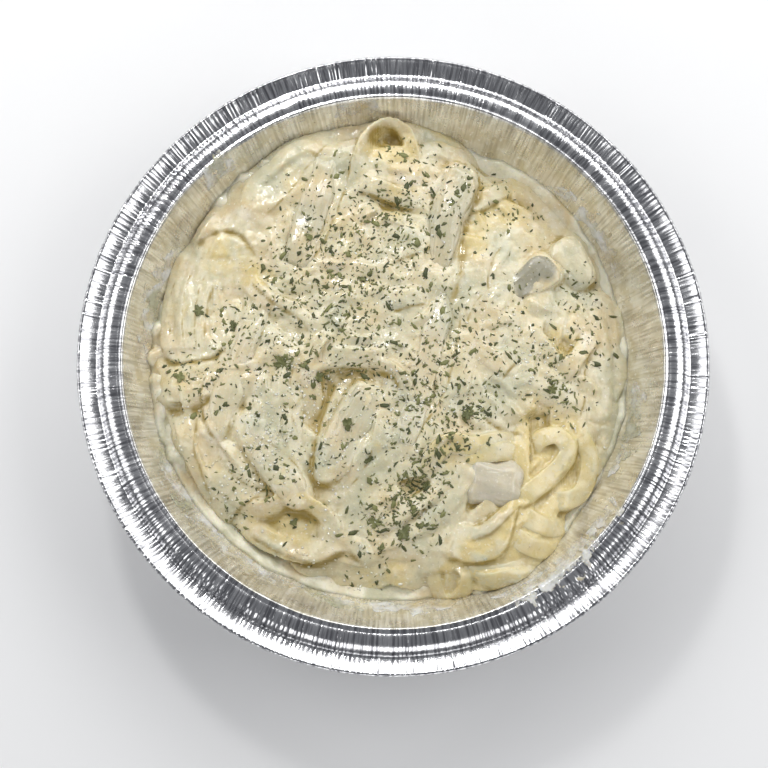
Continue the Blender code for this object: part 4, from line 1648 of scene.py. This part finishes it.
@dataclass
class Parsley:
    """Chopped dried parsley: small chips, and a few whole frilly leaf ends."""

    bed: Bed
    rng: random.Random
    handful: int = 40
    edge: float = 88 * MM
    thickness: float = 0.18 * MM

    def chip(self, bm: bmesh.types.BMesh, size: float) -> list[bmesh.types.BMVert]:
        """Adds one chopped flake, lying flat at the origin.

        Args:
            bm: Where it is added.
            size: Its length, in metres.

        Returns:
            Its vertices.
        """
        rng = self.rng
        sides = rng.choice((5, 6, 7))
        made = bmesh.ops.create_circle(bm, cap_ends=True, radius=1, segments=sides)["verts"]
        thick = bmesh.ops.extrude_face_region(bm, geom=[made[0].link_faces[0]])["geom"]
        raised = [g for g in thick if isinstance(g, bmesh.types.BMVert)]
        long, wide = size / 2, size / 2 * rng.uniform(0.22, 0.6)
        curl = rng.uniform(-0.5, 0.5)
        for low, high in zip(made, raised):
            reach = rng.uniform(0.5, 1.25)
            x, y = low.co.x * long * reach, low.co.y * wide * reach
            bend = curl * (x / long) ** 2 * wide
            low.co = (x, y, bend - 0.1 * MM)
            high.co = (x * 0.94, y * 0.94, bend + 0.12 * MM)
        return [*made, *raised]

    def leaf(self, bm: bmesh.types.BMesh, leaf: Leaf) -> list[bmesh.types.BMVert]:
        """Adds one frilly leaf end, lying flat at the origin.

        Args:
            bm: Where it is added.
            leaf: Its size and lobes.

        Returns:
            Its vertices.
        """
        rim = bmesh.ops.create_circle(bm, cap_ends=True, radius=1, segments=72)["verts"]
        face = rim[0].link_faces[0]
        rings = [rim]
        for _ in range(3):
            bmesh.ops.inset_individual(bm, faces=[face], thickness=0.22)
            rings.append(list(face.verts))
        twist = self.rng.uniform(0, 6)
        for level, ring in enumerate(rings):
            share = 1 - level / 3.4
            for vertex in ring:
                angle = math.atan2(vertex.co.y, vertex.co.x)
                lobe = abs(math.cos(angle * leaf.lobes / 2 + twist)) ** 0.6
                tooth = 0.5 + 0.5 * math.cos(angle * leaf.lobes * 3.1 + twist)
                reach = share * (0.34 + 0.5 * lobe + 0.14 * tooth)
                lift = 0.10 * math.sin(angle * leaf.lobes + twist) * share + 0.1 * share**2
                x, y = reach * math.cos(angle), reach * math.sin(angle)
                vertex.co = (x * leaf.length / 2 * MM, y * leaf.width / 2 * MM, (0.25 + lift * 3) * MM)
        verts = [vertex for ring in rings for vertex in ring]
        faces = list({f for v in verts for f in v.link_faces})
        sides = bmesh.ops.solidify(bm, geom=faces, thickness=self.thickness)["geom"]
        return list({*verts, *(g for g in sides if isinstance(g, bmesh.types.BMVert))})

    @staticmethod
    def blank() -> bmesh.types.BMesh:
        """An empty bmesh with room for each vertex's tone."""
        bm = bmesh.new()
        bm.verts.layers.float.new("tone")
        return bm

    @staticmethod
    def settle(
        bm: bmesh.types.BMesh, flake: list[bmesh.types.BMVert], shade: float, resting: Matrix
    ) -> None:
        """Gives a flake its tone and moves it from the origin to where it rests.

        Args:
            bm: The bmesh that holds it.
            flake: Its vertices.
            shade: Its tone, from 0 to 1.
            resting: Where it rests.
        """
        tone = bm.verts.layers.float["tone"]
        for vertex in flake:
            vertex[tone] = shade
            vertex.co = resting @ vertex.co

    def build(self) -> tuple[bpy.types.Object, bpy.types.Object]:
        """Strews every flake and leaf.

        Returns:
            The chopped flakes and the larger leaves.
        """
        rng, flakes, leaves = self.rng, bmesh.new(), self.blank()
        for x, y, spread, count in SHOWERS:
            for start in range(0, count, self.handful):
                handful = self.blank()
                for _ in range(min(self.handful, count - start)):
                    self.drop_flake(handful, rng.gauss(x, spread), rng.gauss(y, spread))
                flakes.from_mesh(mesh_of(handful, "handful"))
        for leaf in LEAVES:
            resting = self.bed.rest(leaf.x * MM, leaf.y * MM, math.radians(leaf.turn), 0.1)
            self.settle(leaves, self.leaf(leaves, leaf), rng.uniform(0.3, 0.8), resting)
        names = "parsley_flakes", "parsley_leaves"
        return tuple(link(name, mesh_of(bm, name)) for name, bm in zip(names, (flakes, leaves)))

    def drop_flake(self, bm: bmesh.types.BMesh, x: float, y: float) -> None:
        """Drops one flake, unless the spot is bare or has no food.

        Args:
            bm: Where it is added.
            x: Where it falls, in millimetres.
            y: Where it falls, in millimetres.
        """
        rng = self.rng
        if any(math.hypot(x - a, y - b) < radius and rng.random() < 0.93 for a, b, radius in CLEARINGS):
            return
        if math.hypot(x, y) * MM > self.edge:
            return
        resting = self.bed.rest(x * MM, y * MM, rng.uniform(0, math.tau), 0.16)
        if resting is None:
            return
        size = rng.uniform(0.5, 1.1) if rng.random() < 0.40 else min(4.6, 1.4 + rng.expovariate(1 / 0.9))
        shade = rng.random()
        self.settle(bm, self.chip(bm, size * MM), shade, resting)


# Grated cheese and sauce curds: x, y, spread, count
CURDS = (
    (-32, -18, 13, 45), (10, -25, 9, 30), (-6, 20, 26, 45), (-36, 20, 16, 25), (4, -4, 12, 30),
    (60, -10, 10, 15), (-20, -70, 16, 25), (-14, -86, 22, 100), (60, -60, 18, 15), (-50, 66, 14, 25),
    (-46, -32, 8, 130), (-32, -14, 9, 80), (8, -14, 8, 60), (-22, -42, 9, 50), (56, 2, 9, 45),
    (20, 30, 14, 40), (-66, -58, 9, 75), (-84, -30, 8, 60), (-30, -84, 10, 60),
)


@dataclass
class CheeseCrumbs:
    """Small pale curds and cheese crumbs, half sunk in the sauce."""

    bed: Bed
    rng: random.Random
    edge: float = 88 * MM

    def build(self) -> bpy.types.Object:
        """Strews the crumbs as one mesh.

        Returns:
            The finished object.
        """
        whole = bmesh.new()
        for x, y, spread, count in CURDS:
            handful = bmesh.new()
            for _ in range(count):
                place = (self.rng.gauss(x, spread) * MM, self.rng.gauss(y, spread) * MM)
                resting = self.bed.rest(*place, self.rng.uniform(0, 6), 0.3)
                if resting is not None and math.hypot(*place) < self.edge:
                    self.drop(handful, resting)
            whole.from_mesh(mesh_of(handful, "handful"))
        return link("cheese_crumbs", mesh_of(whole, "cheese_crumbs"))

    def drop(self, bm: bmesh.types.BMesh, resting: Matrix) -> None:
        """Adds one crumb where it came to rest.

        Args:
            bm: Where it is added.
            resting: Where it rests.
        """
        size = self.rng.uniform(0.22, 0.62) * MM
        squash = Matrix.Diagonal((size * self.rng.uniform(0.8, 1.8), size, size * 0.6, 1))
        made = bmesh.ops.create_icosphere(bm, subdivisions=1, radius=1, matrix=resting @ squash)["verts"]
        for vertex in made:
            vertex.co += Vector([self.rng.uniform(-0.18, 0.18) * size for _ in range(3)])


# ---------------------------------------------------------------- studio


@dataclass(frozen=True)
class Softbox:
    """An oblong soft light that faces the food."""

    name: str
    place: Place
    size: tuple[float, float]
    power: float


SOFTBOXES = (
    Softbox("key", (0.14, 0.84, 0.60), (1.20, 0.50), 6.2),
    Softbox("spark", (-0.16, 0.46, 0.60), (0.09, 0.09), 1.2),
    Softbox("left", (-0.70, 0.14, 0.62), (0.70, 0.55), 2.6),
    Softbox("right", (0.69, 0.09, 0.68), (0.70, 0.58), 3.3),
    Softbox("near", (0.0, -0.90, 0.42), (0.90, 0.50), 2.6),
)


@dataclass(frozen=True)
class Studio:
    """A plain pale floor, soft light, and a camera that looks down on the tray."""

    camera_place: Place = (-0.00343, -0.09356, 0.48617)
    camera_aim: Place = (-0.00343, -0.0122, 0.046)
    lens: float = 56.96
    light_aim: Place = (0, 0, 0.03)
    sky_tint: Colour = (0.90, 0.93, 1.0)
    sky_power: float = 0.17
    floor_tint: Colour = (0.86, 0.86, 0.86)
    floor_half: float = 1.5

    def aim(self, obj: bpy.types.Object, place: Place, target: Place) -> None:
        """Puts an object at a place, looking at a target."""
        obj.location = place
        obj.rotation_euler = (Vector(target) - Vector(place)).to_track_quat("-Z", "Y").to_euler()

    def build(self) -> None:
        """Makes the camera, the lights, the world and the floor."""
        scene = bpy.context.scene
        scene.camera = link("camera", bpy.data.cameras.new("camera"))
        scene.camera.data.lens = self.lens
        self.aim(scene.camera, self.camera_place, self.camera_aim)
        for box in SOFTBOXES:
            lamp = bpy.data.lights.new(box.name, "AREA")
            lamp.shape = "RECTANGLE"
            lamp.size, lamp.size_y = box.size
            lamp.energy = box.power
            self.aim(link(box.name, lamp), box.place, self.light_aim)
        scene.world = bpy.data.worlds.new("studio")
        scene.world.use_nodes = True
        sky = scene.world.node_tree.nodes["Background"].inputs
        sky["Color"].default_value = (*self.sky_tint, 1)
        sky["Strength"].default_value = self.sky_power
        scene.view_settings.view_transform = "Standard"
        self.floor()

    def floor(self) -> None:
        """The pale floor that the tray stands on."""
        bm = bmesh.new()
        bmesh.ops.create_grid(bm, x_segments=1, y_segments=1, size=self.floor_half)
        floor = link("floor", mesh_of(bm, "floor"))
        made, wires, shader = new_material("floor", self.floor_tint)
        wires.feed(shader, {"Base Color": self.floor_tint, "Roughness": 0.9})
        floor.data.materials.append(made)
        floor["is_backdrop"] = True


def dress(obj: bpy.types.Object, look: bpy.types.Material, replaced: Iterable[str] = ()) -> None:
    """Gives a finished piece its material and its place in the frame.

    Args:
        obj: The piece.
        look: Its material.
        replaced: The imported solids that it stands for.
    """
    obj.data.materials.clear()
    obj.data.materials.append(look)
    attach(obj, "root")
    if replaced:
        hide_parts(*replaced)
    LOG.info("%s: %d faces", obj.name, len(obj.data.polygons))


def main() -> None:
    """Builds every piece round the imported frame."""
    logging.basicConfig(level=logging.INFO, format="%(message)s")
    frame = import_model()
    packed_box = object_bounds()
    rng = random.Random(SEED)
    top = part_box("foil_tray")[1]
    shape = TrayShape(rim_radius=top.x, rim_height=top.z)
    Studio().build()
    creamy = creamy_group()
    tray = FoilTray(shape).build(rng)
    dress(tray, FoilFinish().build(crinkle_group()), ["foil_tray"])
    nodes = frame["nodes"]
    strips = {name: ChickenStrip(nodes[name], look) for name, look in CHICKEN_LOOKS.items()}
    heap = NoodleHeap(shape)
    sauced, noodles = heap.build(rng, nodes, strips.values())
    sauced_finish = CreamyFinish("sauced", NOODLE_TONE, cover="cover", depth="depth")
    dress(sauced, sauced_finish.build(creamy), ["fettuccine"])
    # The bare noodles take their painted shade from the folds' creases.
    noodle_finish = CreamyFinish("noodle", NOODLE_TONE, cover=0.42, depth="crease", grain=0.5)
    dress(noodles, noodle_finish.build(creamy))
    meats = {}
    for look in CHICKEN_LOOKS.values():
        tones = look.bare, look.sauce
        if tones not in meats:
            name = f"chicken_{len(meats) + 1}"
            finish = CreamyFinish(name, *tones, cover="cover", depth="depth", grain=0.6)
            meats[tones] = finish.build(creamy)
    chicken = {name: strip.build() for name, strip in strips.items()}
    for name, piece in chicken.items():
        look = CHICKEN_LOOKS[name]
        dress(piece, meats[look.bare, look.sauce], [name])
    pool = SaucePool(shape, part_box("cream_sauce")[1].z, heap.surface).build()
    cream_finish = CreamyFinish("cream", POOL_TONE, POOL_TONE, grain=0.9)
    dress(pool, cream_finish.build(creamy), ["cream_sauce"])
    smears = RimSmears(shape).build()
    smear_finish = CreamyFinish("smear", SPATTER, SPATTER, clear=0.75)
    dress(smears, smear_finish.build(creamy))
    bed = Bed([sauced, noodles, pool, *chicken.values()], rng)
    crumbs = CheeseCrumbs(bed, rng).build()
    crumb_finish = CreamyFinish("crumb", CRUMB_TONE, CRUMB_TONE, grain=0.0)
    dress(crumbs, crumb_finish.build(creamy))
    herb_look = HerbFinish().build()
    for piece in Parsley(bed, rng).build():
        dress(piece, herb_look)
    sizes = [[list(corner) for corner in box] for box in (packed_box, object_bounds())]


if __name__ == "__main__":
    main()
